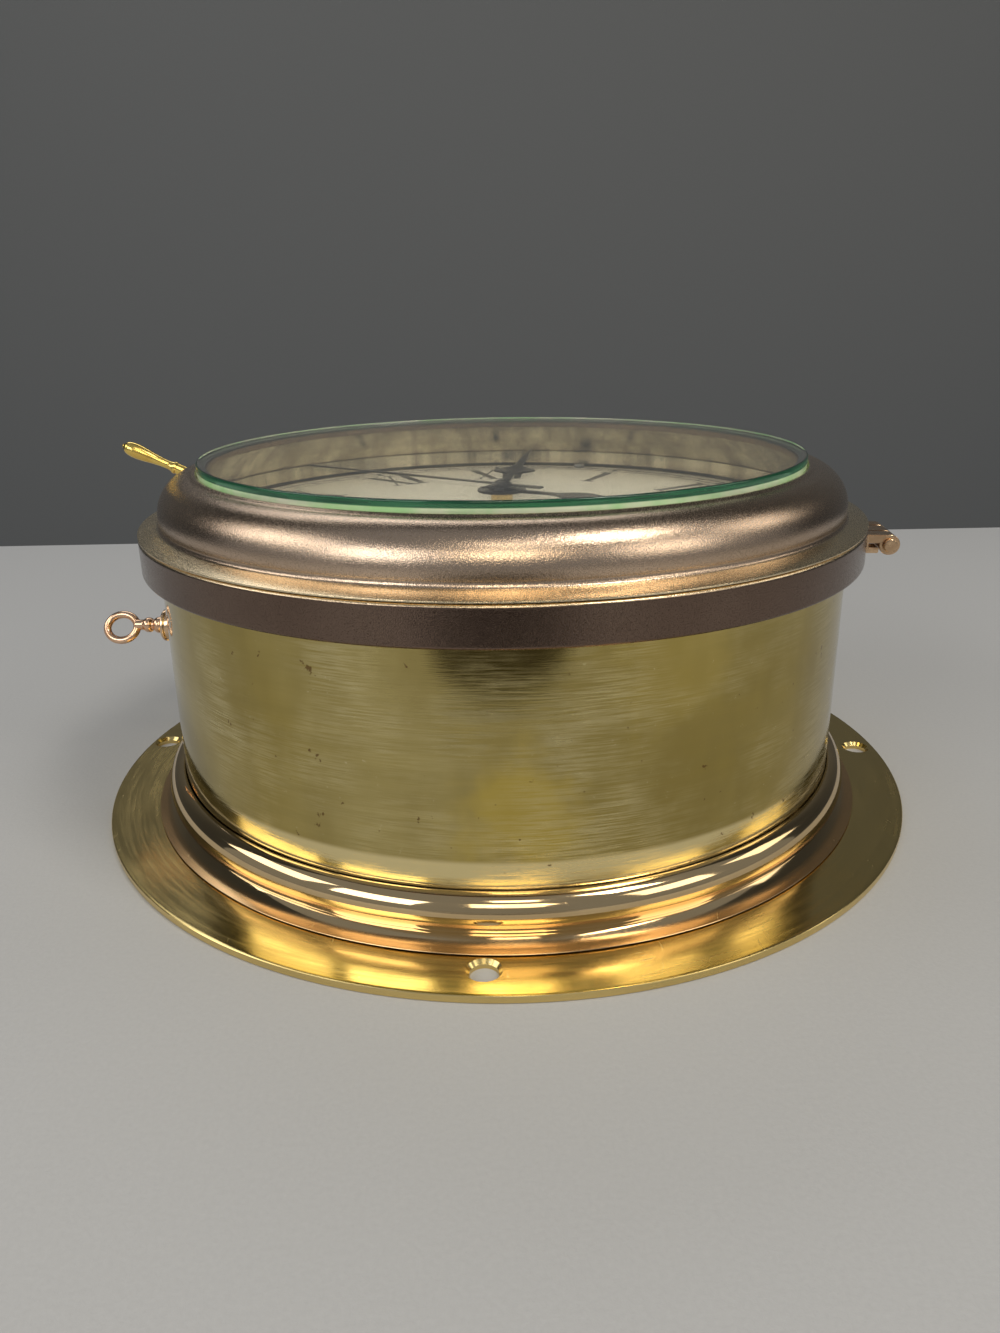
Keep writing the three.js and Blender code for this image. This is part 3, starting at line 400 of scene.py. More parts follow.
def make_height_band():
    """A soft band between two heights, in metres."""
    tree, start, end = new_group("height_band", [("Low", 0.0), ("High", 0.01), ("Soft", 0.001)], ["Band"])
    z = parts_of(tree, object_point(tree))[2]
    low, high, soft = [start.outputs[label] for label in ("Low", "High", "Soft")]
    rise = ramped(tree, z, sums(tree, "SUBTRACT", low, soft), low)
    fall = ramped(tree, z, high, sums(tree, "ADD", high, soft), 1.0, 0.0)
    feed(tree, end.inputs["Band"], sums(tree, "MULTIPLY", rise, fall))
    return tree


def make_patch_at_point():
    """One cloudy patch round a point."""
    tree, start, end = new_group(
        "patch_at_point", [("X", 0.0), ("Y", 0.0), ("Z", 0.0), ("Reach", 0.02)], ["Place"],
    )
    point = object_point(tree)
    offset = tree.nodes.new("ShaderNodeVectorMath")
    offset.operation = "SUBTRACT"
    tree.links.new(point, offset.inputs[0])
    middle = vector_of(tree, *[start.outputs[label] for label in "XYZ"])
    tree.links.new(middle, offset.inputs[1])
    length = tree.nodes.new("ShaderNodeVectorMath")
    length.operation = "LENGTH"
    tree.links.new(offset.outputs[0], length.inputs[0])
    spread = sums(tree, "DIVIDE", length.outputs["Value"], start.outputs["Reach"])
    ragged = sums(tree, "ADD", spread, sums(tree, "MULTIPLY", noise(tree, point, 70.0, 3.0, 0.6), 1.6))
    feed(tree, end.inputs["Place"], ramped(tree, ragged, 1.2, 2.0, 1.0, 0.0))
    return tree


def make_dust():
    """Scattered pale specks on faces that look up."""
    tree, start, end = new_group("dust", [("Scale", 900.0), ("Amount", 0.1)], ["Dust"])
    specks = tree.nodes.new("ShaderNodeTexVoronoi")
    feed(tree, specks.inputs["Vector"], object_point(tree))
    feed(tree, specks.inputs["Scale"], start.outputs["Scale"])
    size = sums(tree, "MULTIPLY", start.outputs["Amount"], noise(tree, object_point(tree), 130.0, 2.0))
    near = sums(tree, "LESS_THAN", specks.outputs["Distance"], size)
    up = parts_of(tree, tree.nodes.new("ShaderNodeNewGeometry").outputs["Normal"])[2]
    feed(tree, end.inputs["Dust"], sums(tree, "MULTIPLY", near, ramped(tree, up, 0.2, 0.8)))
    return tree


LATHE_LINES = make_lathe_lines()
WALL_STREAKS = make_wall_streaks()
CAST_GRAIN = make_cast_grain()
TARNISH = make_tarnish()
SCRATCHES = make_fine_scratches()
HEIGHT_BAND = make_height_band()
PATCH_AT_POINT = make_patch_at_point()
DUST = make_dust()


# Materials

def colour_of(value):
    return (*value, 1.0)


class Finish:
    """One material, with short ways to place groups, mix colours and add relief."""

    def __init__(self, name):
        self.material = bpy.data.materials.new(name)
        self.material.use_nodes = True
        self.tree = self.material.node_tree
        self.shader = self.tree.nodes["Principled BSDF"]

    def group(self, group, output, **values):
        node = self.tree.nodes.new("ShaderNodeGroup")
        node.node_tree = group
        for label, value in values.items():
            node.inputs[label.replace("_", " ")].default_value = value
        return node.outputs[output]

    def mix(self, mask, first, second):
        node = self.tree.nodes.new("ShaderNodeMix")
        node.data_type = "RGBA"
        feed(self.tree, node.inputs["Factor"], mask)
        for side, value in (("A", first), ("B", second)):
            is_socket = isinstance(value, bpy.types.NodeSocket)
            feed(self.tree, node.inputs[side], value if is_socket else colour_of(value))
        return node.outputs["Result"]

    def part(self, mask, share):
        return sums(self.tree, "MULTIPLY", mask, share, clamp=True)

    def total(self, *values):
        result = values[0]
        for value in values[1:]:
            result = sums(self.tree, "ADD", result, value)
        return result

    def relief(self, height, distance, strength=1.0):
        node = self.tree.nodes.new("ShaderNodeBump")
        node.inputs["Strength"].default_value = strength
        node.inputs["Distance"].default_value = distance
        feed(self.tree, node.inputs["Height"], height)
        feed(self.tree, self.shader.inputs["Normal"], node.outputs[0])

    def set(self, **values):
        for label, value in values.items():
            feed(self.tree, self.shader.inputs[label.replace("_", " ")], value)
        return self.material


def drum_brass():
    """Satin brass brushed round, with tarnished places, two brighter yellow patches, painted dark streaks
    for reflected shade, brush strokes painted light as glints and a painted reflection of the flange at the
    foot.
    """
    finish = Finish("drum_brass")
    lines = finish.group(LATHE_LINES, "Lines", Across=2600.0, Along=95.0)
    broad = finish.group(LATHE_LINES, "Lines", Across=300.0, Along=22.0)
    painted_dark_reflections = finish.group(WALL_STREAKS, "Streaks", Around=26.0, Up=9.0)
    patches = finish.group(TARNISH, "Patches", Scale=10.0)
    clouds = finish.group(TARNISH, "Patches", Scale=31.0)
    spots = finish.group(TARNISH, "Spots", Scale=21.0, Spot_Size=0.4)
    scratches = finish.group(SCRATCHES, "Scratches", Scale=55.0)
    brightened = finish.group(PATCH_AT_POINT, "Place", X=0.001, Y=-0.1, Z=0.034, Reach=0.016)
    upper = finish.group(PATCH_AT_POINT, "Place", X=0.036, Y=-0.0933, Z=0.067, Reach=0.018)
    # Painted reflection: a bright golden band 14 to 20.5 mm up the drum stands for the flange reflected in
    # its foot.
    foot = finish.group(HEIGHT_BAND, "Band", Low=0.0140, High=0.0205, Soft=0.0015)
    strokes = finish.part(lines, clouds)
    colour = finish.mix(patches, (0.54, 0.445, 0.18), (0.45, 0.345, 0.09))
    # Painted reflection: broad darker streaks up the drum stand for the dark surroundings it reflects.
    colour = finish.mix(finish.part(painted_dark_reflections, 0.65), colour, (0.33, 0.255, 0.085))
    colour = finish.mix(finish.part(clouds, 0.35), colour, (0.46, 0.36, 0.11))
    colour = finish.mix(finish.part(broad, 0.22), colour, (0.34, 0.27, 0.09))
    # Two brighter, yellower cloudy patches at set points on the drum's front: a strong one low in the
    # middle and a faint one high to the right.
    yellow_patches = finish.total(finish.part(brightened, 0.5), finish.part(upper, 0.15))
    colour = finish.mix(yellow_patches, colour, (0.78, 0.58, 0.10))
    # Painted glint: the real brush strokes are painted lighter than the metal around them.
    colour = finish.mix(finish.part(strokes, 0.42), colour, (0.92, 0.82, 0.48))
    colour = finish.mix(finish.part(foot, 0.8), colour, (0.99, 0.84, 0.46))
    colour = finish.mix(finish.part(scratches, 0.4), colour, (0.92, 0.84, 0.55))
    colour = finish.mix(finish.part(spots, 0.8), colour, (0.16, 0.08, 0.03))
    rough = finish.total(
        finish.part(strokes, 0.2), finish.part(clouds, 0.04), finish.part(broad, 0.03), 0.045,
    )
    finish.relief(finish.total(finish.part(lines, 0.5), finish.part(scratches, 0.4), broad), 0.000005)
    tangent = finish.tree.nodes.new("ShaderNodeTangent")
    tangent.direction_type = "RADIAL"
    tangent.axis = "Z"
    finish.tree.links.new(tangent.outputs[0], finish.shader.inputs["Tangent"])
    return finish.set(
        Base_Color=colour, Metallic=1.0, Roughness=rough, Anisotropic=0.3, Anisotropic_Rotation=0.25,
    )


def flange_brass():
    finish = Finish("flange_brass")
    lines = finish.group(LATHE_LINES, "Lines", Across=1300.0, Along=40.0)
    patches = finish.group(TARNISH, "Patches", Scale=22.0)
    spots = finish.group(TARNISH, "Spots", Scale=24.0, Spot_Size=0.25)
    scratches = finish.group(SCRATCHES, "Scratches", Scale=70.0)
    dust = finish.group(DUST, "Dust", Scale=520.0, Amount=0.14)
    colour = finish.mix(finish.part(patches, 0.5), (0.78, 0.60, 0.25), (0.66, 0.50, 0.19))
    colour = finish.mix(finish.part(scratches, 0.4), colour, (0.88, 0.74, 0.42))
    colour = finish.mix(finish.part(spots, 0.6), colour, (0.25, 0.14, 0.05))
    colour = finish.mix(finish.part(dust, 0.5), colour, (0.8, 0.78, 0.7))
    rough = finish.total(
        finish.part(patches, 0.1), finish.part(scratches, 0.12), finish.part(lines, 0.08), 0.12,
    )
    finish.relief(finish.total(finish.part(lines, 0.4), finish.part(scratches, 0.6)), 0.000006)
    return finish.set(Base_Color=colour, Metallic=1.0, Roughness=rough)


def moulding_polish():
    finish = Finish("moulding_polish")
    patches = finish.group(TARNISH, "Patches", Scale=30.0)
    spots = finish.group(TARNISH, "Spots", Scale=28.0, Spot_Size=0.2)
    scratches = finish.group(SCRATCHES, "Scratches", Scale=80.0)
    foot = finish.group(HEIGHT_BAND, "Band", Low=0.002, High=0.0029, Soft=0.0007)
    colour = finish.mix(finish.part(patches, 0.45), (0.76, 0.57, 0.32), (0.62, 0.45, 0.24))
    colour = finish.mix(finish.part(foot, 0.85), colour, (0.72, 0.45, 0.21))
    colour = finish.mix(finish.part(spots, 0.5), colour, (0.35, 0.2, 0.1))
    rough = finish.total(
        finish.part(patches, 0.05), finish.part(scratches, 0.1), finish.part(foot, 0.16), 0.045,
    )
    finish.relief(finish.total(patches, finish.part(scratches, 0.2)), 0.00001)
    return finish.set(Base_Color=colour, Metallic=1.0, Roughness=rough)


def cast_bronze(name, main, shade, bright, low, high, rough, depth):
    """Buffed cast bronze, with a painted highlight in a band between two heights."""
    finish = Finish(name)
    grain = finish.group(CAST_GRAIN, "Grain", Scale=3000.0)
    pits = finish.group(CAST_GRAIN, "Pits", Scale=4200.0, Openness=0.36)
    patches = finish.group(TARNISH, "Patches", Scale=26.0)
    spots = finish.group(TARNISH, "Spots", Scale=34.0, Spot_Size=0.2)
    brightened = finish.group(HEIGHT_BAND, "Band", Low=low, High=high, Soft=0.0004)
    dust = finish.group(DUST, "Dust", Scale=700.0, Amount=0.1)
    colour = finish.mix(finish.part(patches, 0.6), main, shade)
    colour = finish.mix(finish.part(pits, 0.55), colour, tuple(0.4 * value for value in main))
    # Painted highlight: a bright band between the two heights, along the edge at the bezel's ledge.
    colour = finish.mix(finish.part(brightened, 0.9), colour, bright)
    colour = finish.mix(finish.part(spots, 0.6), colour, (0.12, 0.08, 0.06))
    colour = finish.mix(finish.part(dust, 0.5), colour, (0.75, 0.72, 0.68))
    roughness = finish.total(finish.part(pits, 0.16), finish.part(patches, 0.06), rough)
    finish.relief(grain, depth)
    return finish.set(Base_Color=colour, Metallic=1.0, Roughness=roughness)


def small_brass(name, main, shade, rough):
    """Handled brass fittings: bright, with darker patches and light scratches."""
    finish = Finish(name)
    patches = finish.group(TARNISH, "Patches", Scale=240.0)
    scratches = finish.group(SCRATCHES, "Scratches", Scale=260.0)
    spots = finish.group(TARNISH, "Spots", Scale=120.0, Spot_Size=0.3)
    colour = finish.mix(finish.part(patches, 0.7), main, shade)
    colour = finish.mix(finish.part(spots, 0.6), colour, tuple(0.3 * value for value in shade))
    roughness = finish.total(finish.part(patches, 0.12), finish.part(scratches, 0.1), rough)
    finish.relief(finish.total(patches, scratches), 0.00002)
    return finish.set(Base_Color=colour, Metallic=1.0, Roughness=roughness)


def plain_steel():
    finish = Finish("steel")
    lines = finish.group(CAST_GRAIN, "Grain", Scale=5200.0)
    patches = finish.group(TARNISH, "Patches", Scale=160.0)
    colour = finish.mix(finish.part(patches, 0.6), (0.55, 0.56, 0.58), (0.36, 0.36, 0.38))
    finish.relief(lines, 0.000006)
    rough = finish.total(finish.part(patches, 0.12), 0.2)
    return finish.set(Base_Color=colour, Metallic=1.0, Roughness=rough)


def silvered_wall():
    finish = Finish("silvered")
    streaks = finish.group(WALL_STREAKS, "Streaks", Around=420.0, Up=8.0)
    broad = finish.group(WALL_STREAKS, "Streaks", Around=120.0, Up=4.0)
    patches = finish.group(TARNISH, "Patches", Scale=30.0)
    painted_shadow_line = finish.group(HEIGHT_BAND, "Band", Low=0.0790, High=0.0804, Soft=0.0003)
    colour = finish.mix(broad, (0.96, 0.89, 0.71), (0.44, 0.39, 0.28))
    colour = finish.mix(finish.part(streaks, 0.45), colour, (0.70, 0.63, 0.47))
    colour = finish.mix(finish.part(patches, 0.25), colour, (0.44, 0.39, 0.28))
    # Painted shadow: a black line at the foot of the dial's edge ring, where it meets the dial.
    colour = finish.mix(painted_shadow_line, colour, (0.01, 0.01, 0.01))
    finish.relief(streaks, 0.00002)
    rough = finish.total(finish.part(streaks, 0.1), finish.part(painted_shadow_line, 0.4), 0.14)
    return finish.set(Base_Color=colour, Metallic=1.0, Roughness=rough)


def dial_paint():
    finish = Finish("dial_paint")
    mottle = finish.group(CAST_GRAIN, "Grain", Scale=1500.0)
    patches = finish.group(TARNISH, "Patches", Scale=18.0)
    spots = finish.group(TARNISH, "Spots", Scale=40.0, Spot_Size=0.2)
    colour = finish.mix(finish.part(patches, 0.6), (0.89, 0.83, 0.66), (0.84, 0.77, 0.59))
    colour = finish.mix(finish.part(mottle, 0.2), colour, (0.79, 0.72, 0.55))
    colour = finish.mix(finish.part(spots, 0.4), colour, (0.42, 0.34, 0.22))
    finish.relief(mottle, 0.00001)
    rough = finish.total(finish.part(mottle, 0.1), 0.42)
    return finish.set(Base_Color=colour, Roughness=rough)


def black_paint(name, rough):
    finish = Finish(name)
    mottle = finish.group(CAST_GRAIN, "Grain", Scale=1800.0)
    wear = finish.group(TARNISH, "Patches", Scale=90.0)
    colour = finish.mix(finish.part(wear, 0.6), (0.012, 0.012, 0.014), (0.035, 0.032, 0.03))
    finish.relief(mottle, 0.000012)
    return finish.set(Base_Color=colour, Roughness=finish.total(finish.part(mottle, 0.15), rough))


def lets_lamps_through(finish, share):
    """Glass that shades what lies under it only a little."""
    shadow_ray = finish.tree.nodes.new("ShaderNodeLightPath").outputs["Is Shadow Ray"]
    return sums(finish.tree, "SUBTRACT", 1.0, sums(finish.tree, "MULTIPLY", shadow_ray, share))


def clear_glass():
    finish = Finish("plate_glass")
    smears = finish.group(TARNISH, "Patches", Scale=24.0)
    rough = finish.total(finish.part(smears, 0.008), 0.0)
    return finish.set(
        Base_Color=(0.98, 0.99, 0.97, 1.0), Roughness=rough, Transmission_Weight=1.0, IOR=1.52,
        Alpha=lets_lamps_through(finish, 0.9),
    )


def green_edge():
    """The ground rim of thick glass, with painted light: dark at the top, bright green lower down."""
    finish = Finish("glass_edge")
    streaks = finish.group(LATHE_LINES, "Lines", Across=1600.0, Along=60.0)
    broad = finish.group(WALL_STREAKS, "Streaks", Around=45.0, Up=5.0)
    painted_lit_band = finish.group(HEIGHT_BAND, "Band", Low=0.0980, High=0.1008, Soft=0.0003)
    # Painted light: the rim's lower part is painted bright green, streaked near white, for the light
    # showing through the thick glass edge.
    pale = finish.mix(broad, (0.46, 0.86, 0.40), (0.96, 1.0, 0.80))
    colour = finish.mix(finish.part(streaks, 0.6), (0.012, 0.09, 0.045), (0.03, 0.2, 0.095))
    colour = finish.mix(painted_lit_band, colour, pale)
    rough = finish.total(finish.part(streaks, 0.1), 0.05)
    return finish.set(
        Base_Color=colour, Roughness=rough, Transmission_Weight=0.35, IOR=1.52,
        Alpha=lets_lamps_through(finish, 0.6),
    )


def seal_rubber():
    finish = Finish("seal_rubber")
    mottle = finish.group(CAST_GRAIN, "Grain", Scale=2600.0)
    colour = finish.mix(finish.part(mottle, 0.5), (0.03, 0.03, 0.028), (0.07, 0.068, 0.06))
    finish.relief(mottle, 0.00004)
    return finish.set(Base_Color=colour, Roughness=finish.total(finish.part(mottle, 0.2), 0.6))


LOOKS = {
    "flange_brass": flange_brass(),
    "moulding_polish": moulding_polish(),
    "drum_brass": drum_brass(),
    "band_bronze": cast_bronze(
        "band_bronze", (0.20, 0.14, 0.108), (0.15, 0.10, 0.076), (0.92, 0.74, 0.48),
        low=0.0841, high=0.0846, rough=0.11, depth=0.00002,
    ),
    "bezel_bronze": cast_bronze(
        "bezel_bronze", (0.66, 0.50, 0.37), (0.52, 0.385, 0.27), (0.95, 0.78, 0.50),
        low=0.0846, high=0.0862, rough=0.13, depth=0.000019,
    ),
    "hinge_bronze": small_brass("hinge_bronze", (0.68, 0.48, 0.30), (0.46, 0.30, 0.18), 0.2),
    "lock_brass": small_brass("lock_brass", (0.88, 0.64, 0.42), (0.70, 0.46, 0.28), 0.16),
    "key_brass": small_brass("key_brass", (0.92, 0.62, 0.42), (0.72, 0.42, 0.24), 0.14),
    "handle_brass": small_brass("handle_brass", (0.98, 0.72, 0.20), (0.88, 0.56, 0.13), 0.12),
    "ferrule_brass": small_brass("ferrule_brass", (0.85, 0.66, 0.34), (0.66, 0.46, 0.2), 0.15),
    "movement_brass": small_brass("movement_brass", (0.80, 0.62, 0.30), (0.70, 0.52, 0.24), 0.25),
    "steel": plain_steel(),
    "silvered": silvered_wall(),
    "dial_paint": dial_paint(),
    "hand_black": black_paint("hand_black", 0.25),
    "plate_glass": clear_glass(),
    "seal_rubber": seal_rubber(),
}
PRINT_BLACK = black_paint("print_black", 0.35)


def dress(piece, name, body, slot, *stands_for, material=None):
    """Names a new piece, gives it its finish and lets it ride."""
    piece.name = name
    piece.data.name = name
    piece.data.materials.clear()
    piece.data.materials.append(material or LOOKS[slot])
    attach(piece, body)
    if stands_for:
        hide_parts(*stands_for)
    return piece


# Flange, back plate and moulding

FLANGE_TOP = 2.1
SINK_DEPTH = 1.0
HOLE_RADIUS = 3.35
SINK_RADIUS = 4.25
FLANGE_HOLES = [(-93.9, 113.5), (0.5, 116.6), (86, 115.5), (171.2, 117.6)]


def screw_hole(azimuth, radius):
    x, y = polar(radius, azimuth)
    flare = (SINK_RADIUS - HOLE_RADIUS) / SINK_DEPTH
    tool = turned("hole", [
        (0, -1),
        (HOLE_RADIUS, -1),
        (HOLE_RADIUS, FLANGE_TOP - SINK_DEPTH),
        (SINK_RADIUS + flare, FLANGE_TOP + 1),
        (0, FLANGE_TOP + 1),
    ], SMALL)
    return shifted(tool, x, y, 0)


flange = turned("flange", eased([(95.8, 0), (122.6, 0), (122.6, FLANGE_TOP), (95.8, FLANGE_TOP)], 0.45))
cut(flange, *[screw_hole(*place) for place in FLANGE_HOLES])
dress(flange, "flange_ring", "case", "flange_brass", "mounting_flange")

back = turned("back", eased([(0, 0), (95.5, 0), (95.5, 1.8), (0, 1.8)], 0.3))
dress(back, "back_disc", "case", "flange_brass", "back_plate")

moulding = turned("moulding", [
    (100.3, 2.4),
    (108.6, 2.4),
    (108.7, 2.5),
    (108.6, 2.62),
    (107.0, 2.9),
    (105.6, 3.2),
    *arc((100.6, 8.9), 4.4, 5.4, -50, 84, 40),
    (100.6, 14.25),
    (100.3, 14.1),
])
dress(moulding, "moulding_ring", "case", "moulding_polish", "base_moulding")

# Drum and fixed band

LOCK_AZIMUTH = 175
LOCK_HEIGHT = 46.8
LOCK_BORE = 3.8
HINGE_AZIMUTH = -7
LEAF_INNER = 4.15
LEAF_OUTER = 10


def on_lock(piece):
    turn = round_z(LOCK_AZIMUTH) @ Matrix.Translation((0, 0, LOCK_HEIGHT * MM)) @ ALONG_X
    return placed(piece, turn)


drum = turned("drum", eased([(97.5, 2.4), (100, 2.4), (100, 84), (97.5, 84)], 0.3))
cut(drum, on_lock(rod(LOCK_BORE, 85, 110)))
dress(drum, "drum_wall", "case", "drum_brass", "case_drum")

band = turned("band", eased([
    (100.3, 74.4), (104.23, 74.4), (104.73, 74.9), (104.73, 83.85), (104.23, 84.35), (100.3, 84.35),
], 0.3))
notch = placed(block("notch", (99.5, -LEAF_INNER, 76.4), (106, LEAF_INNER, 86)), round_z(HINGE_AZIMUTH))
cut(band, notch)
dress(band, "band_body", "case", "band_bronze", "band_ring")

# Bezel, glass and what they hold

BELLY_CENTRE = (88.9, 89.2)
BELLY_WIDTH = 10.05
BELLY_HEIGHT = 10.2
GLASS_RADIUS = 87.4
GLASS_LOW = 97.9
GLASS_HIGH = 102.64
FLAT_ENOUGH = 0.9


def belly(grow=0.0):
    return arc(BELLY_CENTRE, BELLY_WIDTH + grow, BELLY_HEIGHT + grow, -10, 84, 44)


bezel = turned("bezel", [
    (97, 84.65),
    (104.55, 84.65),
    (104.70, 84.72),
    (104.73, 84.9),
    (104.66, 85.08),
    (104.4, 85.18),
    (101.6, 85.82),
    (99.9, 86.2),
    (99.3, 86.4),
    (98.98, 86.75),
    *belly(),
    (89.3, 99.6),
    (88.95, 99.87),
    (88.6, 100),
    (88.2, 99.99),
    (87.9, 99.9),
    (87.75, 99.6),
    (87.75, 96.6),
    (84.6, 96.6),
    (84.6, 95.2),
    (90.5, 95.0),
    (94, 93.6),
    (96.6, 91),
    (97, 88.5),
], FINEST)
dress(bezel, "bezel_ring", "bezel", "bezel_bronze", "bezel_shell")

glass_profile = [(0, GLASS_LOW), (GLASS_RADIUS, GLASS_LOW), (GLASS_RADIUS, GLASS_HIGH), (0, GLASS_HIGH)]
glass_disc = turned("glass_disc", eased(glass_profile, 0.45, 4), FINEST)
dress(glass_disc, "window_glass", "bezel", "plate_glass", "glass")
glass_disc.data.materials.append(green_edge())
for face in glass_disc.data.polygons:
    face.material_index = 1 if abs(face.normal.z) < FLAT_ENOUGH else 0

seal = turned("seal", eased([(84.9, 96.9), (87.2, 96.9), (87.2, 97.6), (84.9, 97.6)], 0.2))
dress(seal, "window_seal", "bezel", "seal_rubber", "glass_seal")

wall = turned("wall", eased([(94.0, 84.98), (94.6, 84.98), (86.0, 94.9), (85.4, 94.9)], 0.06))
dress(wall, "reflector_wall", "bezel", "silvered", "reflector_ring")

# Handle

HANDLE_AZIMUTH = 177.5
HANDLE_TILT = 24.6
HANDLE_LENGTH = 18.3
HANDLE_ROOT = (96.6, 97)
HANDLE_GAP = 0.06

handle_line = flowing([
    (1.6, 2.4), (1.42, 2.8), (1.25, 3.8), (1.32, 6.0), (1.6, 8.6), (2.0, 11.2),
    (2.2, 13.6), (2.08, 15.6), (1.62, 16.9), (0.9, 17.6), (0.6, 18.0),
], 5)
handle = turned("handle", [
    (0, -3), (1.6, -3), (1.6, 1.2), (1.82, 1.45), (1.82, 2.05),
    *handle_line, (0.35, 18.22), (0, HANDLE_LENGTH),
], SMALL)
lean = Matrix.Rotation(math.radians(90 - HANDLE_TILT), 4, "Y")
root = Matrix.Translation((HANDLE_ROOT[0] * MM, 0, HANDLE_ROOT[1] * MM))
placed(handle, round_z(HANDLE_AZIMUTH) @ root @ lean)
cut(handle, turned("core", [(0, 84.7), *belly(HANDLE_GAP), (0, 100)], FINEST))
dress(handle, "handle_pin", "bezel", "handle_brass", "bezel_handle")

# Hinge

HINGE_RADIUS = 111.93
HINGE_HEIGHT = 76.3
KNUCKLE = 2.9
PIN_BORE = 1.6
STRAP_HALF = 3.85
LEAF_BACK = 105.03
LEAF_LOW = 73.9
BAR_LOW = 76.8
BAR_HIGH = 79.2


def on_hinge(piece):
    return placed(piece, Matrix.Translation((HINGE_RADIUS * MM, 0, HINGE_HEIGHT * MM)) @ ALONG_Y)


def hinge_bore():
    return on_hinge(rod(PIN_BORE, -20, 20))


def case_leaf(name, low, high, node):
    leaf = joined(
        on_hinge(rod(KNUCKLE, low, high, 0.25)),
        block("bar", (LEAF_BACK, low, BAR_LOW), (HINGE_RADIUS, high, BAR_HIGH), 0.2),
        block("plate", (LEAF_BACK, low, LEAF_LOW), (106.13, high, BAR_HIGH), 0.2),
        block("lug", (LEAF_BACK, low, LEAF_LOW), (109.03, high, 75.5), 0.2),
    )
    cut(leaf, hinge_bore())
    placed(leaf, round_z(HINGE_AZIMUTH))
    dress(leaf, name, "case", "hinge_bronze", node)


case_leaf("case_leaf_near", -LEAF_OUTER, -LEAF_INNER, "hinge_case_leaf_1")
case_leaf("case_leaf_far", LEAF_INNER, LEAF_OUTER, "hinge_case_leaf_2")

strap = joined(
    on_hinge(rod(KNUCKLE, -STRAP_HALF, STRAP_HALF, 0.25)),
    block("bar", (101, -STRAP_HALF, BAR_LOW), (HINGE_RADIUS, STRAP_HALF, BAR_HIGH), 0.2),
    block("riser", (101, -STRAP_HALF, BAR_LOW), (104.3, STRAP_HALF, 84.35), 0.2),
)
cut(strap, hinge_bore())
placed(strap, round_z(HINGE_AZIMUTH))
dress(strap, "bezel_strap", "bezel", "hinge_bronze", "hinge_bezel_strap")

pin_half = 10.3
pin = turned("pin", eased([
    (0, -pin_half - 1), (1.9, -pin_half - 1), (1.9, -pin_half), (1.3, -pin_half),
    (1.3, pin_half), (1.9, pin_half), (1.9, pin_half + 1), (0, pin_half + 1),
], 0.35), SMALL)
placed(on_hinge(pin), round_z(HINGE_AZIMUTH))
dress(pin, "hinge_rivet", "case", "hinge_bronze", "hinge_pin")

# Lock and key

nozzle = turned("nozzle", eased([
    (LOCK_BORE, 100.3), (4.8, 100.3), (4.8, 108.1), (5.1, 108.5),
    (5.1, 109.2), (4.8, 109.5), (LOCK_BORE, 109.5),
], 0.15), SMALL)
dress(on_lock(nozzle), "lock_collar", "case", "lock_brass", "lock_nozzle")

key_shank = turned("shank", [
    (0, 102.3), (1.7, 102.3), (1.7, 109.8),
    *flowing([(1.95, 109.85), (2.4, 110.4), (2.6, 111.3), (2.4, 112.2), (1.85, 112.9)], 5),
    (1.8, 113.4),
    *flowing([(1.95, 113.5), (2.3, 114.1), (2.4, 114.8), (2.3, 115.5), (1.75, 116.4)], 5),
    (1.7, 116.6), (1.7, 118.9), (1.2, 119.3), (0, 119.3),
], SMALL)
# The bow sits a little to one side, and the key rests turned by KEY_REST degrees against its
# CAD solid.
BOW_SHIFT = 0.9
KEY_REST = 32
BOW_MIDDLE = 123.6
BOW_HALF_WIDTH = 4.3
BOW_HALF_LENGTH = 4.9
BOW_WIRE = 1.2
BOW_RINGS = 64
BOW_SIDES = 20


def bow_of_key():
    verts = []
    faces = []
    for i in range(BOW_RINGS):
        turn = 2 * math.pi * i / BOW_RINGS
        next_ring = (i + 1) % BOW_RINGS
        for k in range(BOW_SIDES):
            around = 2 * math.pi * k / BOW_SIDES
            side = BOW_WIRE * math.cos(around)
            verts.append((
                BOW_SHIFT + (BOW_HALF_WIDTH + side) * math.sin(turn),
                BOW_WIRE * math.sin(around),
                BOW_MIDDLE + (BOW_HALF_LENGTH + side) * math.cos(turn),
            ))
            next_side = (k + 1) % BOW_SIDES
            faces.append((
                i * BOW_SIDES + k,
                next_ring * BOW_SIDES + k,
                next_ring * BOW_SIDES + next_side,
                i * BOW_SIDES + next_side,
            ))
    return new_object("bow", verts, faces)


key = placed(joined(key_shank, bow_of_key()), round_z(KEY_REST))
dress(on_lock(key), "bezel_key", "key", "key_brass", "lock_key")

# Dial with its printed figures

DIAL_TOP = 79.3
PRINT_LOW = DIAL_TOP - 0.02
PRINT_HIGH = DIAL_TOP + 0.05
DIAL_SCREWS = [polar(90.5, azimuth) for azimuth in (69.6, 189.6, 309.6)]
WINDING_Y = -35

dial = turned("dial", eased([(3.7, 78.1), (94.2, 78.1), (94.2, DIAL_TOP), (3.7, DIAL_TOP)], 0.15))
dial_holes = [(0, WINDING_Y, 4.5), *[(x, y, 1.3) for x, y in DIAL_SCREWS]]
cut(dial, *[shifted(rod(radius, 70, 90), x, y, 0) for x, y, radius in dial_holes])
dress(dial, "dial_face", "case", "dial_paint", "dial_plate")

edge_ring = turned("edge_ring", eased([(93.9, 79.6), (94.2, 79.6), (94.2, 84.85), (93.7, 84.85)], 0.06))
dress(edge_ring, "dial_edge_ring", "case", "silvered", "dial_ring")

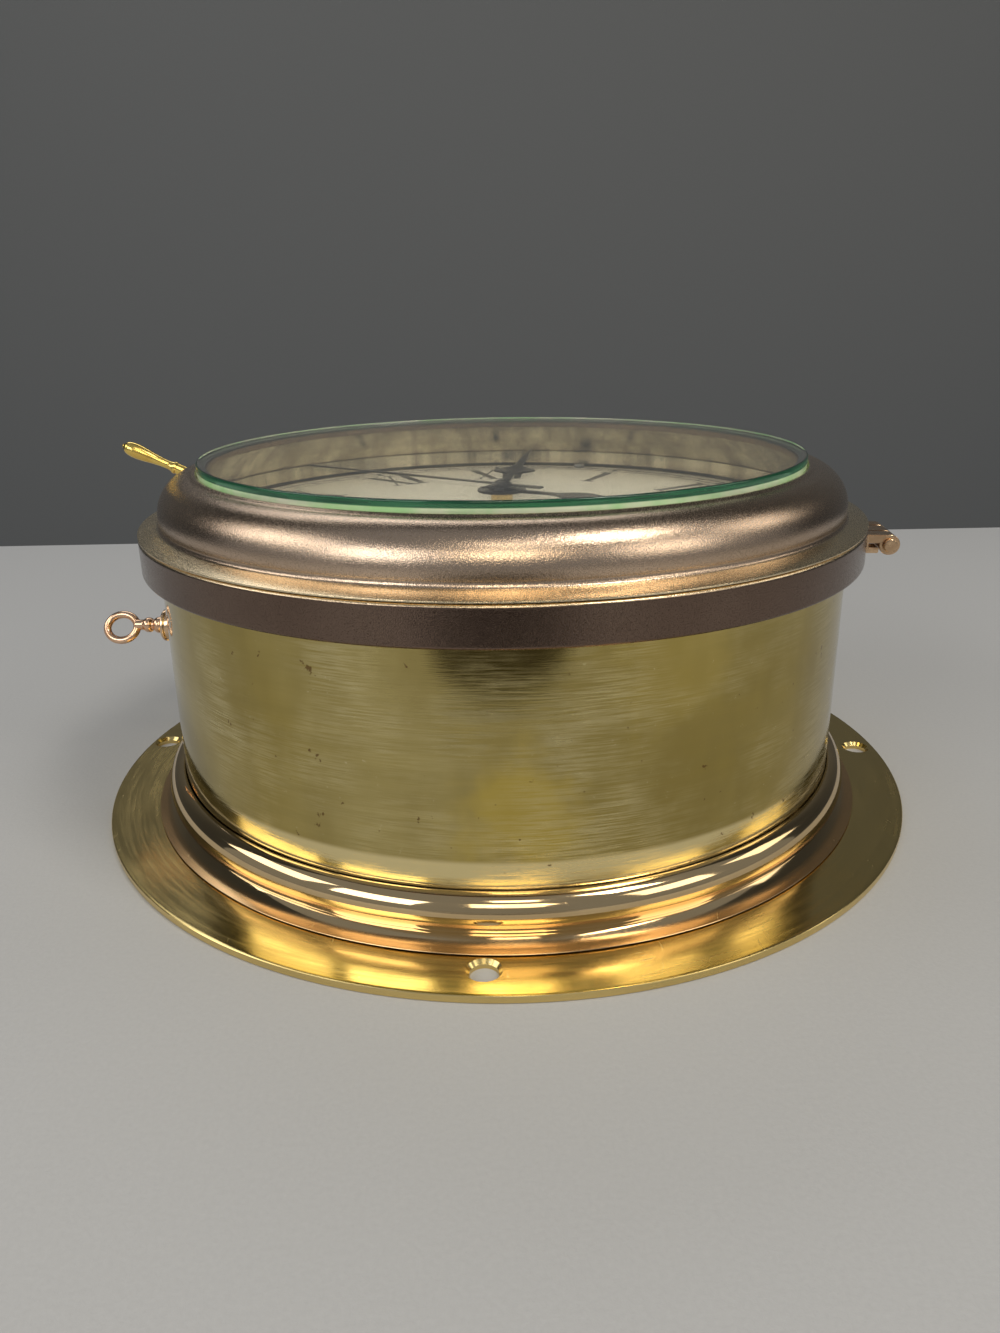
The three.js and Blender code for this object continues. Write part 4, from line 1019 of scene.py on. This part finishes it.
FIGURE_FOOT = 62.0
FIGURE_HEAD = 83.0
FIGURE_MIDDLE = 72.5
THICK = 1.35
THIN = 0.4
SERIF = 0.4
SERIF_REACH = 1.5
LETTER_WIDTHS = {"I": 4.6, "V": 11.0, "X": 11.0}
HOURS = ["XII", "I", "II", "III", "IIII", "V", "VI", "VII", "VIII", "IX", "X", "XI"]


def stroke(x_foot, x_head, half):
    return [
        (x_foot - half, FIGURE_FOOT), (x_foot + half, FIGURE_FOOT),
        (x_head + half, FIGURE_HEAD), (x_head - half, FIGURE_HEAD),
    ]


def serif(x, half, at_head):
    reach = half + SERIF_REACH
    low = FIGURE_HEAD - 2 * SERIF if at_head else FIGURE_FOOT
    high = low + 2 * SERIF
    return [(x - reach, low), (x + reach, low), (x + reach, high), (x - reach, high)]


def letter(kind, middle):
    if kind == "I":
        return [stroke(middle, middle, THICK), serif(middle, THICK, True), serif(middle, THICK, False)]
    lean_by = 3.4
    if kind == "V":
        return [
            stroke(middle + 0.4, middle - lean_by, THICK),
            stroke(middle + 0.4, middle + lean_by, THIN),
            serif(middle - lean_by, THICK, True),
            serif(middle + lean_by, THIN, True),
        ]
    return [
        stroke(middle + lean_by, middle - lean_by, THICK),
        stroke(middle - lean_by, middle + lean_by, THIN),
        serif(middle - lean_by, THICK, True),
        serif(middle + lean_by, THIN, True),
        serif(middle + lean_by, THICK, False),
        serif(middle - lean_by, THIN, False),
    ]


def figure_outlines():
    outlines = []
    for hour, text in enumerate(HOURS):
        turn = math.radians(90 - 30 * hour)
        outward = Vector((math.cos(turn), math.sin(turn)))
        right = Vector((math.sin(turn), -math.cos(turn)))
        left_edge = -sum(LETTER_WIDTHS[kind] for kind in text) / 2
        for kind in text:
            middle = left_edge + LETTER_WIDTHS[kind] / 2
            left_edge += LETTER_WIDTHS[kind]
            for outline in letter(kind, middle):
                points = [outward * y + right * x * (y / FIGURE_MIDDLE) for x, y in outline]
                outlines.append([(point.x, point.y) for point in points])
    return outlines


def ring_cells(inner, outer, steps=240):
    cells = []
    for i in range(steps):
        start = 360 * i / steps
        end = 360 * (i + 1) / steps
        cells.append([polar(inner, start), polar(outer, start), polar(outer, end), polar(inner, end)])
    return cells


def minute_marks():
    marks = []
    for minute in range(60):
        azimuth = 6 * minute
        half = 0.75 if minute % 5 == 0 else 0.22
        across = Vector(polar(half, azimuth + 90))
        inner = Vector(polar(86.0, azimuth))
        outer = Vector(polar(90.0, azimuth))
        corners = [inner - across, outer - across, outer + across, inner + across]
        marks.append([(corner.x, corner.y) for corner in corners])
    return marks


figures = sheet_of("figures", figure_outlines(), PRINT_LOW, PRINT_HIGH)
dress(figures, "dial_figures", "case", "dial_paint", material=PRINT_BLACK)
track = sheet_of(
    "track", [*ring_cells(85.8, 86.15), *ring_cells(89.85, 90.2), *minute_marks()], PRINT_LOW, PRINT_HIGH,
)
screw_clearances = [shifted(rod(2.4, 78, 82), x, y, 0) for x, y in DIAL_SCREWS]
cut(track, *screw_clearances)
dress(track, "dial_minute_track", "case", "dial_paint", material=PRINT_BLACK)

for number, (x, y) in enumerate(DIAL_SCREWS, 1):
    screw = turned("screw", eased([
        (0, 75.8), (1, 75.8), (1, 79.6), (2, 79.6), (2, 80.5), (1.7, 80.8), (0, 80.86),
    ], 0.12), SMALL)
    slot_angle = 35 * number
    slot = placed(block("slot", (-3, -0.28, 80.35), (3, 0.28, 82)), round_z(slot_angle))
    cut(screw, slot)
    shifted(screw, x, y, 0)
    dress(screw, f"face_screw_{number}", "case", "steel", f"dial_screw_{number}")

ferrule = turned("ferrule", eased([
    (3.4, 78.2), (4.2, 78.2), (4.2, 79.6), (5.2, 79.6), (5.0, 80.0), (3.4, 80.0),
], 0.12), 96)
dress(shifted(ferrule, 0, WINDING_Y, 0), "winding_bush", "case", "ferrule_brass", "winding_ferrule")

# Hands

HAND_LINES = {
    "hour": {
        "line": [(0, 1.3), (10, 1.15), (17.5, 1.1), (20.5, 2.6), (24, 4.1), (27.5, 4.3),
                 (31, 3.0), (35, 1.5), (42, 0.95), (49, 0.6), (52, 0.05)],
        "hub": 7.3, "bore": 2.3, "low": 85.7, "high": 86.3, "angle": -31,
        "node": "hour_hand", "body": "hour",
    },
    "minute": {
        "line": [(-9, 1.2), (-8.5, 1.5), (-4, 1.3), (12, 1.2), (23.5, 1.15), (27.5, 4.4), (31, 6.8),
                 (33.8, 5.0), (36.5, 3.4), (42, 1.6), (60, 1.1), (79, 0.55), (82, 0.05)],
        "hub": 4.6, "bore": 1.15, "low": 86.7, "high": 87.2, "angle": 81,
        "node": "minute_hand", "body": "minute",
    },
    "seconds": {
        "line": [(-14, 0.9), (-13.5, 1.2), (-8, 1.0), (0, 0.75), (40, 0.5), (77, 0.3), (78, 0.05)],
        "hub": 3.0, "bore": 1.15, "low": 87.5, "high": 88.0, "angle": 145,
        "node": "seconds_hand", "body": "seconds",
    },
}

for kind, hand in HAND_LINES.items():
    upper_side = flowing(hand["line"], 6)
    lower_side = [(x, -y) for x, y in upper_side]
    hub = [polar(hand["hub"], 360 * i / 72) for i in range(72)]
    piece = sheet_of("hand", [[*lower_side, *reversed(upper_side)], hub], hand["low"], hand["high"], 0.12)
    cut(piece, rod(hand["bore"], hand["low"] - 1, hand["high"] + 1))
    placed(piece, round_z(hand["angle"]))
    dress(piece, f"{kind}_pointer", hand["body"], "hand_black", hand["node"])

collets = [
    ("hour_collet", "hour", [(2.4, 86.25), (4.2, 86.25), (4.0, 86.5), (2.4, 86.55)]),
    ("minute_collet", "minute", [(1.25, 87.15), (3.2, 87.15), (3.0, 87.38), (1.25, 87.4)]),
    ("seconds_collet", "seconds", [(0.82, 87.95), (2.2, 87.95), (2.0, 88.7), (0.82, 88.9)]),
]
for name, body, outline in collets:
    dress(turned(name, eased(outline, 0.08), SMALL), name, body, "hand_black")

# The CAD nodes that stay on show take the finish of their slot

for subpart in frame["record"]["subparts"]:
    node = nodes[subpart["node"]]
    node.data.materials.clear()
    node.data.materials.append(LOOKS[subpart["material_slot"]])

# Studio

STAGE_REACH = 9000
FLOOR_END = 346
floor = block("floor", (-STAGE_REACH, -STAGE_REACH, -30), (STAGE_REACH, FLOOR_END, 0))
backdrop = block("backdrop", (-STAGE_REACH, 900, -1500), (STAGE_REACH, 920, 3500))


def studio_paper(name, first, second):
    finish = Finish(name)
    paper = noise(finish.tree, object_point(finish.tree), 900.0, 3.0, 0.6)
    finish.relief(paper, 0.0002, 0.35)
    return finish.set(Base_Color=finish.mix(paper, first, second), Roughness=0.75)


for piece, paper in (
    (floor, studio_paper("floor_paper", (0.45, 0.455, 0.46), (0.51, 0.515, 0.52))),
    (backdrop, studio_paper("wall_paper", (0.115, 0.12, 0.122), (0.135, 0.14, 0.142))),
):
    piece.data.materials.append(paper)

# A dark card with faded edges lies before the clock. The camera doesn't see it directly:
# it shows in reflections, and it casts no shadow. Its middle and reach are in metres.
CARD_MIDDLE = (-0.015, -0.42)
CARD_REACH = (0.15, 0.19)


def faded_card():
    finish = Finish("card_paper")
    x, y, z = parts_of(finish.tree, object_point(finish.tree))
    aside = sums(finish.tree, "DIVIDE", sums(finish.tree, "SUBTRACT", x, CARD_MIDDLE[0]), CARD_REACH[0])
    ahead = sums(finish.tree, "DIVIDE", sums(finish.tree, "SUBTRACT", y, CARD_MIDDLE[1]), CARD_REACH[1])
    fade = ramped(finish.tree, radius_of(finish.tree, aside, ahead), 0.7, 1.0, 1.0, 0.0)
    return finish.set(Base_Color=colour_of((0.022, 0.018, 0.014)), Roughness=0.8, Alpha=fade)


card = block("near_card", (-170, -615, 1), (140, -225, 2))
card.data.materials.append(faded_card())
card.visible_camera = False
card.visible_shadow = False
card.visible_diffuse = False

world = bpy.data.worlds.new("studio")
bpy.context.scene.world = world
world.use_nodes = True
world.node_tree.nodes["Background"].inputs["Color"].default_value = (0.24, 0.25, 0.265, 1.0)
world.node_tree.nodes["Background"].inputs["Strength"].default_value = 1.0


AIM = Vector((0, 0, 0.05))
LAMPS = [
    ("key_lamp", (0.52, -0.40, 1.15), 0.32, 0.32, 4.3, (1.0, 0.95, 0.86)),
    ("left_window", (-1.05, -0.15, 0.72), 0.7, 0.45, 2.3, (1.0, 0.97, 0.92)),
    ("left_panel", (-0.75, -0.85, 0.62), 0.55, 0.5, 2.7, (1.0, 0.98, 0.95)),
    ("front_panel", (-0.02, -1.2, 0.82), 0.5, 0.42, 2.2, (1.0, 0.88, 0.68)),
    ("front_spot", (0.02, -0.66, 1.0), 0.22, 0.2, 0.7, (1.0, 0.92, 0.78)),
    ("front_lamp_left", (-0.10, -1.10, 0.74), 0.07, 0.07, 0.12, (1.0, 0.9, 0.7)),
    ("front_lamp_right", (0.22, -1.05, 0.74), 0.07, 0.07, 0.12, (1.0, 0.9, 0.7)),
    ("right_panel", (0.85, -0.70, 0.60), 0.5, 0.45, 1.8, (1.0, 0.93, 0.82)),
    ("right_window", (1.05, 0.05, 0.70), 0.4, 0.4, 1.0, (1.0, 0.93, 0.82)),
    ("back_panel", (-0.15, 0.80, 0.90), 1.0, 0.35, 2.1, (1.0, 1.0, 1.0)),
]


def panel(name, place, width, height, power, colour):
    """A soft lamp at a place in metres, turned to the clock."""
    lamp = bpy.data.lights.new(name, "AREA")
    lamp.shape = "RECTANGLE"
    lamp.size = width
    lamp.size_y = height
    lamp.energy = power
    lamp.color = colour
    holder = bpy.data.objects.new(name, lamp)
    bpy.context.scene.collection.objects.link(holder)
    holder.location = place
    holder.rotation_mode = "QUATERNION"
    holder.rotation_quaternion = (Vector(place) - AIM).to_track_quat("Z", "Y")


for lamp in LAMPS:
    panel(*lamp)

# Camera, with its place in metres and its angles in radians

CAMERA_PLACE = (-0.00603, -0.30117, 0.14151)
PITCH = 0.3441
YAW = 0.0155
ROLL = -0.0156
FOCAL_PIXELS = 1000
PICTURE_HEIGHT = 1333
FILM_HEIGHT = 36
forward = Vector((math.sin(YAW) * math.cos(PITCH), math.cos(YAW) * math.cos(PITCH), -math.sin(PITCH)))
level = Vector((math.cos(YAW), -math.sin(YAW), 0))
upright = level.cross(forward)
across = math.cos(ROLL) * level + math.sin(ROLL) * upright
rise = -math.sin(ROLL) * level + math.cos(ROLL) * upright
lens = bpy.data.cameras.new("camera")
lens.lens = FOCAL_PIXELS / PICTURE_HEIGHT * FILM_HEIGHT
lens.sensor_width = FILM_HEIGHT
lens.clip_start = 0.01
camera = bpy.data.objects.new("camera", lens)
bpy.context.scene.collection.objects.link(camera)
camera.matrix_world = Matrix.Translation(CAMERA_PLACE) @ Matrix((
    (across.x, rise.x, -forward.x, 0),
    (across.y, rise.y, -forward.y, 0),
    (across.z, rise.z, -forward.z, 0),
    (0, 0, 0, 1),
))
bpy.context.scene.camera = camera
bpy.context.scene.view_settings.view_transform = "Standard"
